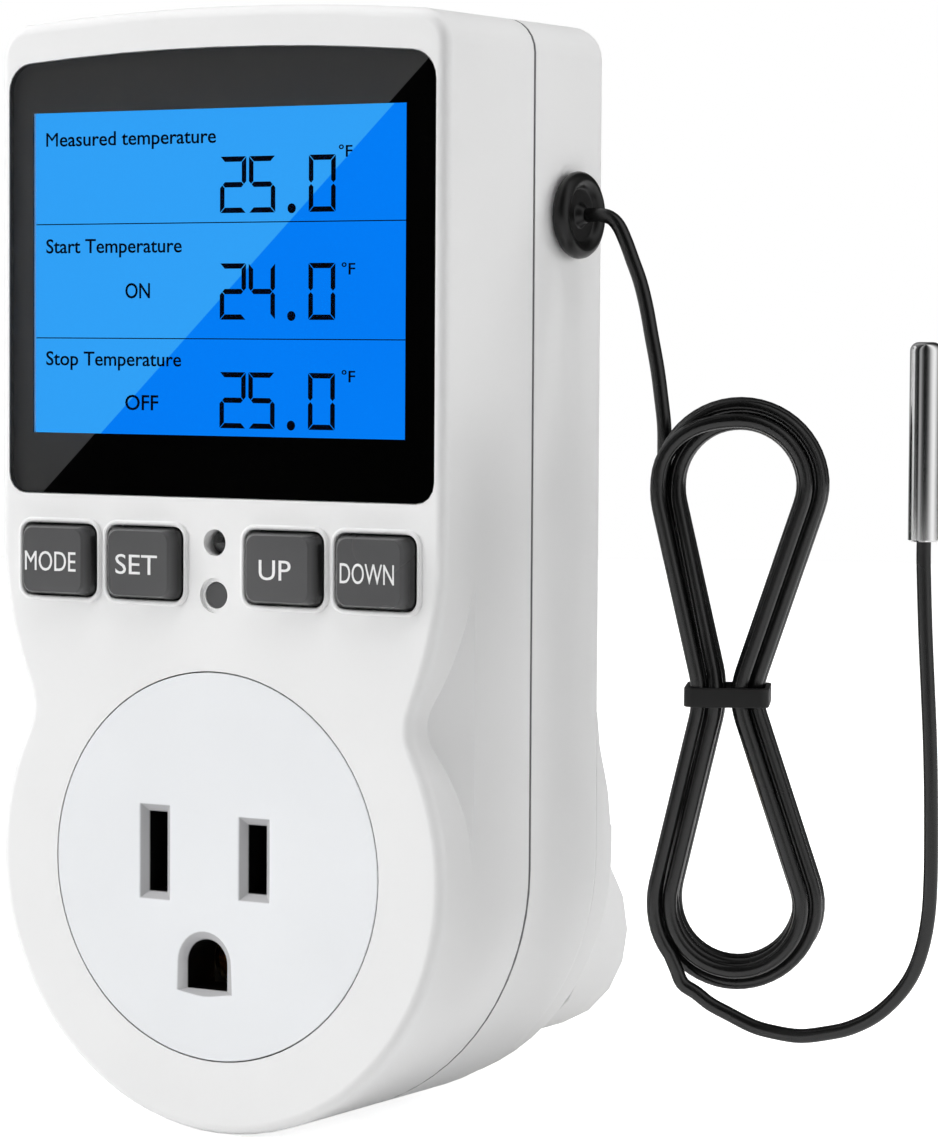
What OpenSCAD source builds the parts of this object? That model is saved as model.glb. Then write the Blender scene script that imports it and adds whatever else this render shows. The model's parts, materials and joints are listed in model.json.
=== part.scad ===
// Plug-in temperature controller: a display and keys over a socket, a plug behind, a probe on a cord.
// Modules give places as x across, depth behind the front face, and height over the socket's axis.

/* [Housing] */
// Width of the housing, also the diameter of its round lower end
body_w = 56.5; // [56:0.5:62]
// Height of the crown's middle above the axis of the socket
crown_z = 89.6; // [89:0.2:98]
// Radius of the gently arched top edge
crown_r = 300; // [200:10:500]
// Radius of the two upper corners
corner_r = 3.6; // [2.8:0.2:5]
// Depth of the front shell, back to the seam
front_d = 17; // [16:0.5:19]
// Depth of the upper part of the rear shell
rear_d = 15.2; // [15:0.2:20]
// How far the lower part of the rear shell swells out behind
swell_d = 3.6; // [2.8:0.2:6]
// Thickness of the shell walls
wall = 2.2; // [1.9:0.1:2.4]
// Rounding of the front edge
edge_r = 1.2; // [0.6:0.1:1.2]
// Rounding of the rear edge
rear_edge_r = 1.6; // [1:0.1:2]
// Width and depth of the fine groove at the seam
seam_gap = 0.3; // [0.1:0.05:0.5]

/* [Waist] */
// Radius of the flanks that curve in towards the waist
flank_r = 39; // [36:1:50]
// Height above the socket's axis at which the flanks begin
flank_z = 34; // [32:0.5:35]
// Radius of the hollow between flank and round end
valley_r = 5.5; // [4:0.5:8]
// Depth from the front at which the scoop runs out on the side
scoop_d = 6; // [5:0.25:7]
// Angle of the scoop's slanted floor to the front face
scoop_angle = 36; // [30:1:42]

/* [Display] */
// Distance from the glossy window's sides to the housing's sides
lens_side = 1.25; // [1.25:0.05:1.75]
// Height of the window's lower edge above the socket's axis
lens_low_z = 38.6; // [38:0.2:39.6]
// Distance from the window's top edge to the crown
lens_margin = 4.2; // [3.8:0.2:5]
// Radius of the window's upper corners
lens_top_r = 3; // [2:0.2:4]
// Radius of the window's lower corners
lens_low_r = 2.2; // [1:0.2:3]
// Thickness of the clear window plate
lens_t = 1.2; // [1:0.1:1.3]
// Thickness of the black border plate behind the window
mask_t = 0.2; // [0.1:0.05:0.3]
// Width of the black border left and right of the visible display
lcd_side = 3.35; // [3.1:0.05:5]
// Width of the black border above the visible display
lcd_above = 6.3; // [6:0.1:7]
// Width of the black border below the visible display
lcd_below = 6.5; // [6.3:0.1:7.2]
// Distance of the visible display to the left of the window's middle
lcd_shift = 0.65; // [0:0.05:0.8]
// Thickness of the display glass
lcd_t = 2.4; // [2:0.1:2.6]
// Thickness of the light guide behind the display
light_t = 1.8; // [1.4:0.1:2]

/* [Keys] */
// Free width between the two middle keys
key_mid = 8.1; // [7.9:0.1:8.6]
// Gap between two neighbouring keys
key_between = 1.65; // [1.5:0.05:2]
// Height of a key cap
key_h = 7.5; // [6.5:0.1:7.7]
// Corner radius of a key cap
key_r = 1.1; // [0.8:0.1:1.4]
// Distance of the outer keys from the housing's sides
key_side = 3.35; // [3.2:0.05:3.7]
// Height of the keys' middle above the socket's axis
key_z = 31.6; // [31.4:0.1:31.8]
// How far a key stands out of the front face
key_out = 1.5; // [1:0.1:1.6]
// Width of the slanted flanks at a key's left and right
key_flank = 1; // [0.6:0.1:1.2]
// Gap between a key and the hole around it
key_gap = 0.2; // [0.15:0.05:0.25]
// Travel of a key
key_travel = 0.5; // [0.3:0.05:0.6]
// Height of the indicator above the socket's axis
led_z = 34; // [33.8:0.1:34.4]
// Diameter of the indicator's hole
led_d = 2.8; // [2.6:0.1:3]
// Height of the reset button above the socket's axis
reset_z = 28.5; // [28.2:0.1:28.8]
// Diameter of the reset button
reset_d = 2.7; // [2.5:0.1:2.9]

/* [Socket] */
// Distance from the round socket face to the housing's sides
disc_side = 7.85; // [7.6:0.05:8.5]
// Gap around the socket face
disc_gap = 0.15; // [0.1:0.05:0.25]
// Distance between the two blade slots, and between the plug's blades
blade_pitch = 12.7; // [12.6:0.1:12.8]
// Distance from the line of the blades down to the ground pin
ground_drop = 11.9; // [11.8:0.05:12]
// Height of the slots' middle above the disc's middle
slot_rise = 1.1; // [0.8:0.1:1.4]
// Distance of the slots and the ground hole to the left of the disc's middle
slot_shift = 1.25; // [0:0.05:1.3]
// Width of the slots
slot_w = 2.2; // [2:0.1:2.4]
// Height of the neutral slot
neutral_h = 8.4; // [8:0.1:8.8]
// Height of the line slot
line_h = 7.1; // [6.8:0.1:7.4]
// Width of the ground hole
ground_w = 5; // [5:0.1:5.2]
// Height of the ground hole's straight lower part, below the middle of its arch
ground_low = 2.75; // [2.75:0.05:2.85]
// Width of the sloping mouth around each slot
mouth_w = 0.92; // [0.6:0.02:1]
// Depth of the sloping mouth
mouth_d = 0.7; // [0.5:0.1:1.2]

/* [Plug] */
// Distance from the plug's base to the housing's sides
boss_side = 4.15; // [4.05:0.05:5.2]
// Height of the plug's base, which has round ends
boss_h = 23.6; // [22.8:0.2:23.8]
// How far the plug's base stands out behind the swelling
boss_d = 10.2; // [8:0.2:14]
// Distance of the plug's middle above the housing's lowest point
boss_low = 18.25; // [18.15:0.05:18.45]
// Distance of the line of the blades above the plug's middle
plug_rise = 5.5; // [5.3:0.1:5.7]
// Height of a blade
blade_h = 6.35; // [6.2:0.05:6.4]
// Thickness of a blade
blade_t = 1.52; // [1.45:0.01:1.6]
// Length of a blade behind the plug's face
blade_l = 17.8; // [16:0.1:18.2]
// Diameter of the ground pin
pin_d = 4.75; // [4.7:0.01:4.8]
// Length of the ground pin behind the plug's face
pin_l = 21.4; // [19:0.1:21.4]

/* [Cord and probe] */
// Diameter of the probe's cord
cord_d = 1.5; // [1.3:0.1:1.5]
// Diameter of the gland's flange
gland_d = 9.2; // [8:0.1:10]
// Height of the cord's outlet above the socket's axis
gland_z = 68.4; // [67:0.1:69]
// Depth of the cord's outlet behind the seam
gland_back = 7.8; // [7.4:0.1:8]
// Diameter of the probe's steel tube
probe_d = 3.2; // [3:0.1:4]
// Length of the probe's steel tube
probe_l = 20; // [18:0.5:24]
// Distance between neighbouring turns of the bound hank
turn_step = 1.98; // [1.98:0.01:2.1]

/* [Hidden] */

// Clearance of a fixed fit and of a running fit, and the overrun of a cut
fit = 0.03;
run_fit = 0.06;
over = 0.5;

// Whole sizes that follow from the driving ones
half_w = body_w / 2;
lens_w = body_w - 2 * lens_side;
lens_high_z = crown_z - lens_margin;
lcd_w = lens_w - 2 * lcd_side;
lcd_low_z = lens_low_z + lcd_below;
lcd_high_z = lens_high_z - lcd_above;
lcd_h = lcd_high_z - lcd_low_z;
lcd_z = (lcd_high_z + lcd_low_z) / 2;
key_w = (half_w - key_side - key_between - key_mid / 2) / 2;
key_out_x = half_w - key_side - key_w / 2;
key_in_x = (key_mid + key_w) / 2;
disc_d = body_w - 2 * disc_side;
boss_w = body_w - 2 * boss_side;
gland_y = front_d + gland_back;
rear_y = front_d + rear_d;
swell_y = rear_y + swell_d;
body_d = swell_y + boss_d;
inner_rear_y = rear_y - wall;
inner_swell_y = swell_y - wall;
plug_z = boss_low - half_w;
blade_z = plug_z + plug_rise;
pin_z = blade_z - ground_drop;
slot_x = blade_pitch / 2;
// Axes of the socket's holes: an inserted plug sits a little above the middle of the slots
slot_play = 0.25;
ground_z = slot_rise + slot_play - ground_drop;
arch_z = ground_z + slot_play;
neutral_in = [-slot_x - slot_shift, slot_rise];
line_in = [slot_x - slot_shift, slot_rise];
ground_in = [-slot_shift, ground_z];

// Swelling of the rear shell: how far it reaches over the plug's middle and at least over the socket's
// axis, the height of its ramp, how far its sides stand in, its edge
swell_over = 13;
swell_least = 3;
swell_ramp = 12.4;
swell_full_z = max(plug_z + swell_over, swell_least);
swell_top_z = swell_full_z + swell_ramp;
swell_in = 0.35;
swell_edge_r = 1;

// Boards: thickness, depths, and the edges and corners of both
board_t = 1.6;
board_y = 9;
board_back_y = board_y + board_t;
power_gap = 1.8;
power_y = inner_rear_y - power_gap - board_t;
power_back_y = power_y + board_t;
board_space = power_y - board_back_y;
board_gap = 0.85;
board_half_w = half_w - wall - board_gap;
board_below = 5.8;
board_low_z = key_z - board_below;

// Screws: shank and head radii, head thickness
shank_r = 1.3;
head_r = 2.05;
head_t = 1.6;
small_shank_r = 1;
small_head_r = 1.7;
small_head_t = 1.1;

// Housing screws: places, length, depth of the head's seat, posts in front and behind
top_post_in = 5.95;
crown_post_in = 5.5;
side_post_in = 6.85;
flank_post_in = 11.4;
low_post_in = 3.85;
top_post = [half_w - top_post_in, crown_z - crown_post_in];
side_post = [half_w - side_post_in, flank_z - flank_post_in];
low_post = [0, low_post_in - half_w];
post_at = [top_post, [-top_post[0], top_post[1]], side_post, [-side_post[0], side_post[1]], low_post];
screw_l = 11;
seat_d = 3.4;
seat_y = front_d + seat_d;
front_post_r = 2.5;
rear_post_r = 3.3;

// Display glass and its holder: edges hidden behind the border, and the gap to the shell
glass_edge = 1.5;
frame_t = 0.6;
holder_gap = 0.3;
glass_w = 2 * (half_w - wall - holder_gap - frame_t);
glass_h = lcd_h + 2 * glass_edge;

// Board screws: places of their posts beside the holder and on the power board, and how far they bite
hold_r = 1.9;
bite = 4;
hold_in = 1.6;
hold_below = 1.3;
hold_above = 0.9;
tab_over = 2;
tab_gap = 3.8;
tab_half_w = top_post[0] - front_post_r - tab_gap;
low_hold = [board_half_w - hold_in, lcd_z - glass_h / 2 - frame_t - hold_below - hold_r];
high_hold = [tab_half_w - 2 * tab_over, lcd_z + glass_h / 2 + frame_t + hold_above + hold_r];
hold_at = [low_hold, [-low_hold[0], low_hold[1]], high_hold, [-high_hold[0], high_hold[1]]];
tab_z = high_hold[1] + tab_over;
power_side = 3.55;
post_clear = 0.7;
power_half_w = half_w - wall - power_side;
power_low_z = side_post[1] + rear_post_r + post_clear;
power_high_z = top_post[1] - rear_post_r - post_clear;
power_hold_in = 3;
power_hold_up = 3.4;
power_low = [power_half_w - power_hold_in, power_low_z + power_hold_up];
power_high = [power_half_w - power_hold_in, power_high_z - power_hold_up];
power_at = [power_low, [-power_low[0], power_low[1]], power_high, [-power_high[0], power_high[1]]];

// Steps of a quarter turn for the rounded edges
edge_steps = 4;

// Points of an arc with both ends, a list without its first point, and a list closed by its mirror image
function spoke(a) = [cos(a), sin(a)];
function arc(c, r, a, b, n) = [for (i = [0 : n]) c + r * spoke(a + (b - a) * i / n)];
function rest(p) = [for (i = [1 : len(p) - 1]) p[i]];
function closed(h) = concat(h, [for (i = [len(h) - 2 : -1 : 1]) [-h[i][0], h[i][1]]]);

// Right half of an upper outline: a corner that touches a straight side and the crown, then the crown
crown_c = [0, crown_z - crown_r];
function corner_a(hw, cr, r) = acos((hw - r) / (cr - r));
function corner_c(hw, cr, r) = [hw - r, crown_c[1] + (cr - r) * sin(corner_a(hw, cr, r))];
function upper(hw, cr, r) = concat(arc(corner_c(hw, cr, r), r, 0, corner_a(hw, cr, r), 6),
    rest(arc(crown_c, cr, corner_a(hw, cr, r), 90, 4)));

// Full outline of the housing, drawn in by a distance
function full_pts(in) = closed(concat(arc([0, 0], half_w - in, -90, 0, 18),
    upper(half_w - in, crown_r - in, max(corner_r - in, wall / 4))));

// The hollow of the waist touches the round end and the flank
flank_c = [half_w - flank_r, flank_z];
low_reach = half_w + valley_r;
high_reach = flank_r + valley_r;
flank_span = norm(flank_c);
along = (pow(flank_span, 2) + pow(low_reach, 2) - pow(high_reach, 2)) / (2 * flank_span);
across = sqrt(pow(low_reach, 2) - pow(along, 2));
valley_c = along / flank_span * flank_c + across / flank_span * [flank_c[1], -flank_c[0]];
low_a = atan2(valley_c[1], valley_c[0]);
high_a = atan2(valley_c[1] - flank_c[1], valley_c[0] - flank_c[0]);

// Outline of the front face with its waist, drawn in by a distance
function waist_pts(in) = closed(concat(arc([0, 0], half_w - in, -90, low_a, 26),
    rest(arc(valley_c, valley_r + in, low_a + 180, high_a + 180, 9)),
    rest(arc(flank_c, flank_r - in, high_a, 0, 8)),
    upper(half_w - in, crown_r - in, max(corner_r - in, wall / 4))));
// The same points moved out to the straight side, where the scoop ends
function side_pts() = [for (p = waist_pts(0)) p[1] > 0 && p[1] < flank_z && p[0] != 0
    ? [sign(p[0]) * half_w, p[1]] : p];
// Depth at which the scoop's slanted floor leaves the waisted wall
function ridge_y(p) = scoop_d - max(tan(scoop_angle) * (p[1] > 0 && p[1] < flank_z ? half_w - abs(p[0])
    : 0), seam_gap);

// A solid through rings of equal count, closed at both ends round a middle point
function flat_ring(pts, y) = [for (p = pts) [p[0], y, p[1]]];
function eased_rings(s) = [for (i = [0 : edge_steps]) [s * (1 - sin(90 * i / edge_steps)),
    s * (1 - cos(90 * i / edge_steps))]];
module loft(rings, mid_z) {
    n = len(rings[0]);
    last = len(rings) - 1;
    a = len(rings) * n;
    polyhedron(
        points = concat([for (r = rings) each r],
            [[0, rings[0][0][1], mid_z], [0, rings[last][0][1], mid_z]]),
        faces = concat(
            [for (i = [0 : last - 1], j = [0 : n - 1]) [i * n + j, i * n + (j + 1) % n,
                (i + 1) * n + (j + 1) % n]],
            [for (i = [0 : last - 1], j = [0 : n - 1]) [i * n + j, (i + 1) * n + (j + 1) % n,
                (i + 1) * n + j]],
            [for (j = [0 : n - 1]) [a, (j + 1) % n, j]],
            [for (j = [0 : n - 1]) [a + 1, last * n + j, last * n + (j + 1) % n]]));
}

// Everything is drawn in the front face's frame and moved so that the plug's face is the origin
module placed() { translate([0, -body_d, -plug_z]) children(); }
// A flat shape in x and height made solid between two depths, a round rod, and a box
module deep(y0, y1) { translate([0, y1, 0]) rotate([90, 0, 0]) linear_extrude(y1 - y0) children(); }
module rod(at, r, y0, y1) { translate([at[0], y1, at[1]]) rotate([90, 0, 0])
    cylinder(h = y1 - y0, r = r, $fn = 32); }
module slab(at, w, h, y0, y1) { translate([at[0] - w / 2, y0, at[1] - h / 2]) cube([w, y1 - y0, h]); }

// Rounded rectangles and shapes with two round ends, as points
function round_rect(w, h, r, n) = [for (s = [[1, 1, 0], [-1, 1, 90], [-1, -1, 180], [1, -1, 270]])
    each arc([s[0] * (w / 2 - r), s[1] * (h / 2 - r)], r, s[2], s[2] + 90, n)];
function race(w, h, n) = concat(arc([(w - h) / 2, 0], h / 2, -90, 90, n),
    arc([(h - w) / 2, 0], h / 2, 90, 270, n));
function moved(pts, by) = [for (p = pts) p + by];

// Glossy window's outline, with its own corner radii below
function lens_pts(in) = closed(concat([[0, lens_low_z + in]],
    arc([lens_w / 2 - lens_low_r, lens_low_z + lens_low_r], lens_low_r - in, -90, 0, 4),
    upper(lens_w / 2 - in, crown_r - lens_margin - in, lens_top_r - in)));

// Housing: the front shell
lens_gap = 0.1;
lens_seat_y = lens_t + mask_t;
view_gap = 0.8;
rim_w = 0.5;
rim_d = 0.35;
module front_form() {
    loft(concat([for (e = eased_rings(edge_r)) flat_ring(waist_pts(e[0]), e[1])],
        [[for (p = waist_pts(0)) [p[0], ridge_y(p), p[1]]], flat_ring(side_pts(), scoop_d),
            flat_ring(side_pts(), front_d)]), flank_z / 2);
}
module front_shell() {
    color("#ececec") placed() difference() {
        union() {
            difference() {
                front_form();
                deep(wall, front_d + over) polygon(waist_pts(wall));
                deep(scoop_d + wall, front_d + over) polygon(full_pts(wall));
            }
            for (p = post_at) rod(p, front_post_r, wall - over, front_d);
            for (p = hold_at) rod(p, hold_r, wall - over, board_y);
        }
        deep(-over, lens_seat_y) polygon(lens_pts(0));
        deep(-over, wall + over)
            polygon(moved(round_rect(lcd_w + view_gap, lcd_h + view_gap, rim_w, 1),
                [-lcd_shift, lcd_z]));
        for (x = [-key_out_x, -key_in_x, key_in_x, key_out_x]) {
            deep(-over, rim_d) polygon(moved(round_rect(key_w + 2 * rim_w, key_h + 2 * rim_w,
                key_r + rim_w / 2, 3), [x, key_z]));
            deep(-over, wall + over)
                polygon(moved(round_rect(key_w + 2 * key_gap, key_h + 2 * key_gap, key_r, 3),
                    [x, key_z]));
        }
        rod([0, led_z], led_d / 2, -over, wall + over);
        rod([0, reset_z], reset_d / 2 + run_fit, -over, wall + over);
        rod([0, reset_z], reset_d / 2 + rim_w, -over, rim_d);
        rod([0, 0], disc_d / 2 + disc_gap, -over, wall + over);
        for (p = post_at) rod(p, shank_r + fit, seat_y - screw_l - over, front_d + over);
        for (p = hold_at) rod(p, small_shank_r + fit, board_y - bite - over, board_y + over);
    }
}

// Housing: the rear shell with its swelling and the lip that enters the front shell
lip_t = 1;
lip_d = 1.5;
ramp_steps = 5;
spigot_in = 6.1;
spigot_w = boss_w - 2 * spigot_in;
spigot_h = 19.4;
gland_neck_r = 3;
function swell_pts(in,
    top) = closed(concat(arc([0, 0], half_w - in, -90, 0, 18), [[half_w - in, top], [0, top]]));
module swell_form() {
    y0 = rear_y - over;
    y1 = swell_y - swell_edge_r;
    loft(concat([for (i = [0 : ramp_steps]) let (s = i / ramp_steps)
            flat_ring(swell_pts(swell_in,
                swell_full_z + (swell_top_z - swell_full_z) * acos(2 * s - 1) / 180),
                    y0 + (y1 - y0) * s)],
        [for (i = [edge_steps - 1 : -1 : 0]) let (e = eased_rings(swell_edge_r)[i])
            flat_ring(swell_pts(swell_in + e[0], swell_full_z - e[0]), swell_y - e[1])]), plug_z);
}
module rear_form() {
    loft(concat([flat_ring(full_pts(seam_gap), front_d),
        flat_ring(full_pts(seam_gap), front_d + seam_gap),
            flat_ring(full_pts(0), front_d + seam_gap)],
        [for (i = [edge_steps : -1 : 0]) let (e = eased_rings(rear_edge_r)[i])
            flat_ring(full_pts(e[0]), rear_y - e[1])]),
        flank_z);
    swell_form();
}
module rear_shell() {
    color("#e2e2e2") placed() difference() {
        union() {
            difference() {
                rear_form();
                deep(front_d - over, inner_rear_y) polygon(full_pts(wall));
                deep(inner_rear_y - over, inner_swell_y)
                    polygon(swell_pts(swell_in + wall, swell_full_z - wall));
            }
            difference() {
                deep(front_d - lip_d, front_d + wall) polygon(full_pts(wall + run_fit));
                deep(front_d - lip_d - over, front_d + wall + over) polygon(full_pts(wall + lip_t));
                for (p = post_at) rod(p, front_post_r + key_gap, front_d - lip_d - over, front_d);
            }
            deep(front_d + seam_gap, front_d + wall) difference() {
                polygon(full_pts(wall - over));
                polygon(full_pts(wall + lip_t));
            }
            for (p = post_at) rod(p, rear_post_r, front_d,
                (p[1] > 0 ? inner_rear_y : inner_swell_y) + over);
            for (p = power_at) rod(p, hold_r, power_back_y, inner_rear_y + over);
        }
        for (p = post_at) {
            rod(p, shank_r + run_fit, front_d - over, seat_y + over);
            rod(p, head_r + key_gap, seat_y, swell_y + over);
        }
        for (p = power_at) rod(p, small_shank_r + fit, power_back_y - over, power_y + bite + over);
        deep(inner_swell_y - over, swell_y + over)
            polygon(moved(race(spigot_w + 2 * fit, spigot_h + 2 * fit, 10), [0, plug_z]));
        translate([half_w - wall - over, gland_y, gland_z]) rotate([0, 90, 0])
            cylinder(h = wall + 2 * over, r = gland_neck_r + fit, $fn = 32);
        for (p = base_hold_at) rod(p, small_shank_r + run_fit, inner_swell_y - over, swell_y + over);
    }
}

// Plug: a base with round ends on a stepped neck, fixed from inside by two screws
neck_in = 0.9;
neck_t = 0.5;
boss_edge_r = 0.8;
spigot_d = 4.6;
base_hold_in = 3.5;
base_hold = [boss_w / 2 - base_hold_in, plug_z];
base_hold_at = [base_hold, [-base_hold[0], base_hold[1]]];
base_bite = 5;
pin_root_r = 2.1;
pin_neck = 0.4;
pin_ring = 0.2;
pin_ring_d = 0.8;
base_inner_y = swell_y - spigot_d;
module plug_base() {
    color("#e6e6e6") placed() difference() {
        union() {
            translate([0, 0, plug_z]) loft(concat([flat_ring(race(boss_w, boss_h, 10), swell_y + neck_t)],
                [for (i = [edge_steps : -1 : 0]) let (e = eased_rings(boss_edge_r)[i])
                    flat_ring(race(boss_w - 2 * e[0], boss_h - 2 * e[0], 10), body_d - e[1])]), 0);
            deep(swell_y, swell_y + neck_t + over)
                polygon(moved(race(boss_w - 2 * neck_in, boss_h - 2 * neck_in, 10), [0, plug_z]));
            deep(base_inner_y, swell_y + over) polygon(moved(race(spigot_w, spigot_h, 10), [0, plug_z]));
        }
        for (x = [-slot_x, slot_x])
            slab([x, blade_z], blade_t + 2 * fit, blade_h + 2 * fit, base_inner_y - over, body_d + over);
        rod([0, pin_z], pin_root_r + fit, base_inner_y - over, body_d + over);
        rod([0, pin_z], pin_d / 2 + pin_ring, body_d - pin_ring_d, body_d + over);
        for (p = base_hold_at) rod(p, small_shank_r + fit, swell_y - over, swell_y + base_bite + over);
    }
}

// A blade with a bevelled tip and a round hole, and its tail inside
blade_tail = 1.6;
tip_bevel = 1;
blade_hole_r = 1.6;
blade_hole_y = 11.5;
module blade(x) {
    color("#c9a84a") placed() difference() {
        translate([x - blade_t / 2, 0, blade_z]) rotate([90, 0, 90]) linear_extrude(blade_t) polygon([
            [base_inner_y - blade_tail, -blade_h / 2], [body_d + blade_l - tip_bevel, -blade_h / 2],
            [body_d + blade_l, tip_bevel - blade_h / 2], [body_d + blade_l, blade_h / 2 - tip_bevel],
            [body_d + blade_l - tip_bevel, blade_h / 2], [base_inner_y - blade_tail, blade_h / 2]]);
        translate([x - blade_t, body_d + blade_hole_y, blade_z]) rotate([0, 90, 0])
            cylinder(h = 2 * blade_t, r = blade_hole_r, $fn = 24);
    }
}
module line_blade() { blade(slot_x); }
module neutral_blade() { blade(-slot_x); }
// The ground pin has a thinner root in the base and a short undercut where it leaves the face
pin_tip_r = 1.9;
module ground_pin() {
    pin_face = body_d - base_inner_y + blade_tail;
    color("#c9a84a") placed() translate([0, base_inner_y - blade_tail, pin_z]) rotate([-90, 0, 0])
        rotate_extrude($fn = 32) polygon(concat([[0, 0], [pin_root_r, 0], [pin_root_r, pin_face + pin_neck],
            [pin_d / 2, pin_face + pin_neck]],
            arc([pin_d / 2 - pin_tip_r, pin_face + pin_l - pin_tip_r], pin_tip_r, 0, 90, 5),
            [[0, pin_face + pin_l]]));
}

// Socket: a round face with sloping mouths, a hidden flange and short guides behind
disc_lap = 1.2;
flange_r = disc_d / 2 + disc_lap;
flange_t = 1.4;
guide_t = 1.2;
carrier_y = 5.6;
module ground_shape(grow, low) {
    circle(r = ground_w / 2 + grow, $fn = 32);
    translate([-ground_w / 2 - grow, -ground_low - low]) square([ground_w + 2 * grow, ground_low + low]);
}
module mouth_step(y) { translate([0, y, 0]) rotate([90, 0, 0]) linear_extrude(fit) children(); }
module slot_mouth(at, h) {
    hull() {
        slab(at, slot_w, h, mouth_d, mouth_d + fit);
        slab(at, slot_w + 2 * mouth_w, h + 2 * mouth_w, -fit, 0);
    }
}
ground_mouth_w = 1.03;
low_mouth_w = 0.3;
module at_arch() { translate([-slot_shift, 0, arch_z]) children(); }
module socket_face() {
    color("#eceff2") placed() difference() {
        union() {
            rod([0, 0], disc_d / 2, 0, wall);
            rod([0, 0], flange_r, wall, wall + flange_t);
            slab(neutral_in, slot_w + 2 * guide_t, neutral_h + 2 * guide_t, wall, carrier_y);
            slab(line_in, slot_w + 2 * guide_t, line_h + 2 * guide_t, wall, carrier_y);
            at_arch() deep(wall, carrier_y) ground_shape(guide_t, guide_t);
        }
        slab(neutral_in, slot_w, neutral_h, -over, carrier_y + over);
        slab(line_in, slot_w, line_h, -over, carrier_y + over);
        at_arch() deep(-over, carrier_y + over) ground_shape(0, 0);
        slot_mouth(neutral_in, neutral_h);
        slot_mouth(line_in, line_h);
        at_arch() hull() {
            mouth_step(mouth_d) ground_shape(0, 0);
            mouth_step(0) ground_shape(ground_mouth_w, low_mouth_w);
        }
    }
}

// Contact carrier: a block with three wells, each open to the front and slotted behind for a tail
carrier_side = 2.1;
carrier_top = 2.6;
carrier_low = 6;
carrier_top_z = slot_rise + neutral_h / 2 + carrier_top;
carrier_low_z = ground_z - carrier_low;
carrier_past = 4.6;
carrier_back_y = front_d + carrier_past;
well_w = 5.4;
carrier_half_w = slot_x + slot_shift + well_w / 2 + carrier_side;
well_gap = 0.6;
well_floor = 1.2;
leaf_t = 0.5;
leaf_gap = 0.15;
tail_w = 3.4;
tail_t = 0.8;
tail_l = 3.4;
well_y = carrier_back_y - well_floor;
leaf_y0 = carrier_y + well_gap;
leaf_y1 = well_y - leaf_t - fit;
cup_r = pin_d / 2 + leaf_gap / 3;
module contact_carrier() {
    color("#d8d4c8") placed() difference() {
        slab([0, (carrier_top_z + carrier_low_z) / 2], 2 * carrier_half_w, carrier_top_z - carrier_low_z,
            carrier_y, carrier_back_y);
        slab(neutral_in, well_w, neutral_h + 2 * well_gap, carrier_y - over, well_y);
        slab(line_in, well_w, line_h + 2 * well_gap, carrier_y - over, well_y);
        rod(ground_in, cup_r + leaf_t + well_gap, carrier_y - over, well_y);
        for (p = [neutral_in, line_in, ground_in])
            slab(p, tail_t + 2 * fit, tail_w + 2 * fit, well_y - over, carrier_back_y + over);
    }
}
module blade_contact(at, h) {
    color("#c9a84a") placed() {
        for (s = [-1, 1]) slab(at + [s * (slot_w + leaf_t) / 2, 0], leaf_t, h, leaf_y0, leaf_y1);
        slab(at, slot_w + 2 * leaf_t, h, leaf_y1, leaf_y1 + leaf_t);
        slab(at, tail_t, tail_w, leaf_y1 + leaf_t, carrier_back_y + tail_l);
    }
}
module line_contact() { blade_contact(line_in, line_h - 2 * leaf_gap); }
module neutral_contact() { blade_contact(neutral_in, neutral_h - 2 * leaf_gap); }
module ground_contact() {
    color("#c9a84a") placed() {
        difference() {
            rod(ground_in, cup_r + leaf_t, leaf_y0, leaf_y1);
            rod(ground_in, cup_r, leaf_y0 - over, leaf_y1 + over);
            slab(ground_in + [cup_r, 0], 2 * leaf_t + over, tail_t, leaf_y0 - over, leaf_y1 + over);
        }
        rod(ground_in, cup_r + leaf_t, leaf_y1, leaf_y1 + leaf_t);
        slab(ground_in, tail_t, tail_w, leaf_y1 + leaf_t, carrier_back_y + tail_l);
    }
}

// Display: window, printed border, glass, light guide, holder and contact strips
lcd_back_y = wall + lcd_t;
light_back_y = lcd_back_y + light_t;
strip_t = 1.6;
module display_window() { color("#c8d4dc", 0.4) placed() deep(0, lens_t) polygon(lens_pts(lens_gap)); }
module window_mask() {
    color("#101010") placed() deep(lens_t, lens_seat_y) difference() {
        polygon(lens_pts(lens_gap));
        translate([-lcd_shift, lcd_z]) square([lcd_w, lcd_h], center = true);
    }
}
module lcd_panel() { color("#1f8fff") placed() slab([0, lcd_z], glass_w, glass_h, wall, lcd_back_y); }
module lcd_backlight() {
    color("#f4f8ff") placed() slab([0, lcd_z], glass_w, glass_h - 4 * strip_t, lcd_back_y, light_back_y);
}
module lcd_holder() {
    color("#f2f2f2") placed() difference() {
        slab([0, lcd_z], glass_w + 2 * frame_t, glass_h + 2 * frame_t, wall, board_y);
        slab([0, lcd_z], glass_w + 2 * fit, glass_h + 2 * fit, wall - over, light_back_y);
        for (s = [-1, 1]) slab([0, lcd_z + s * (glass_h / 2 - strip_t)], lcd_w + 2 * fit,
            strip_t + 2 * fit, wall - over, board_y + over);
        slab([0, lcd_z], lcd_w, glass_h - 6 * strip_t, light_back_y + frame_t, board_y + over);
    }
}
module contact_strips() {
    color("#404048") placed() for (s = [-1, 1])
        slab([0, lcd_z + s * (glass_h / 2 - strip_t)], lcd_w, strip_t, lcd_back_y, board_y);
}

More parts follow.
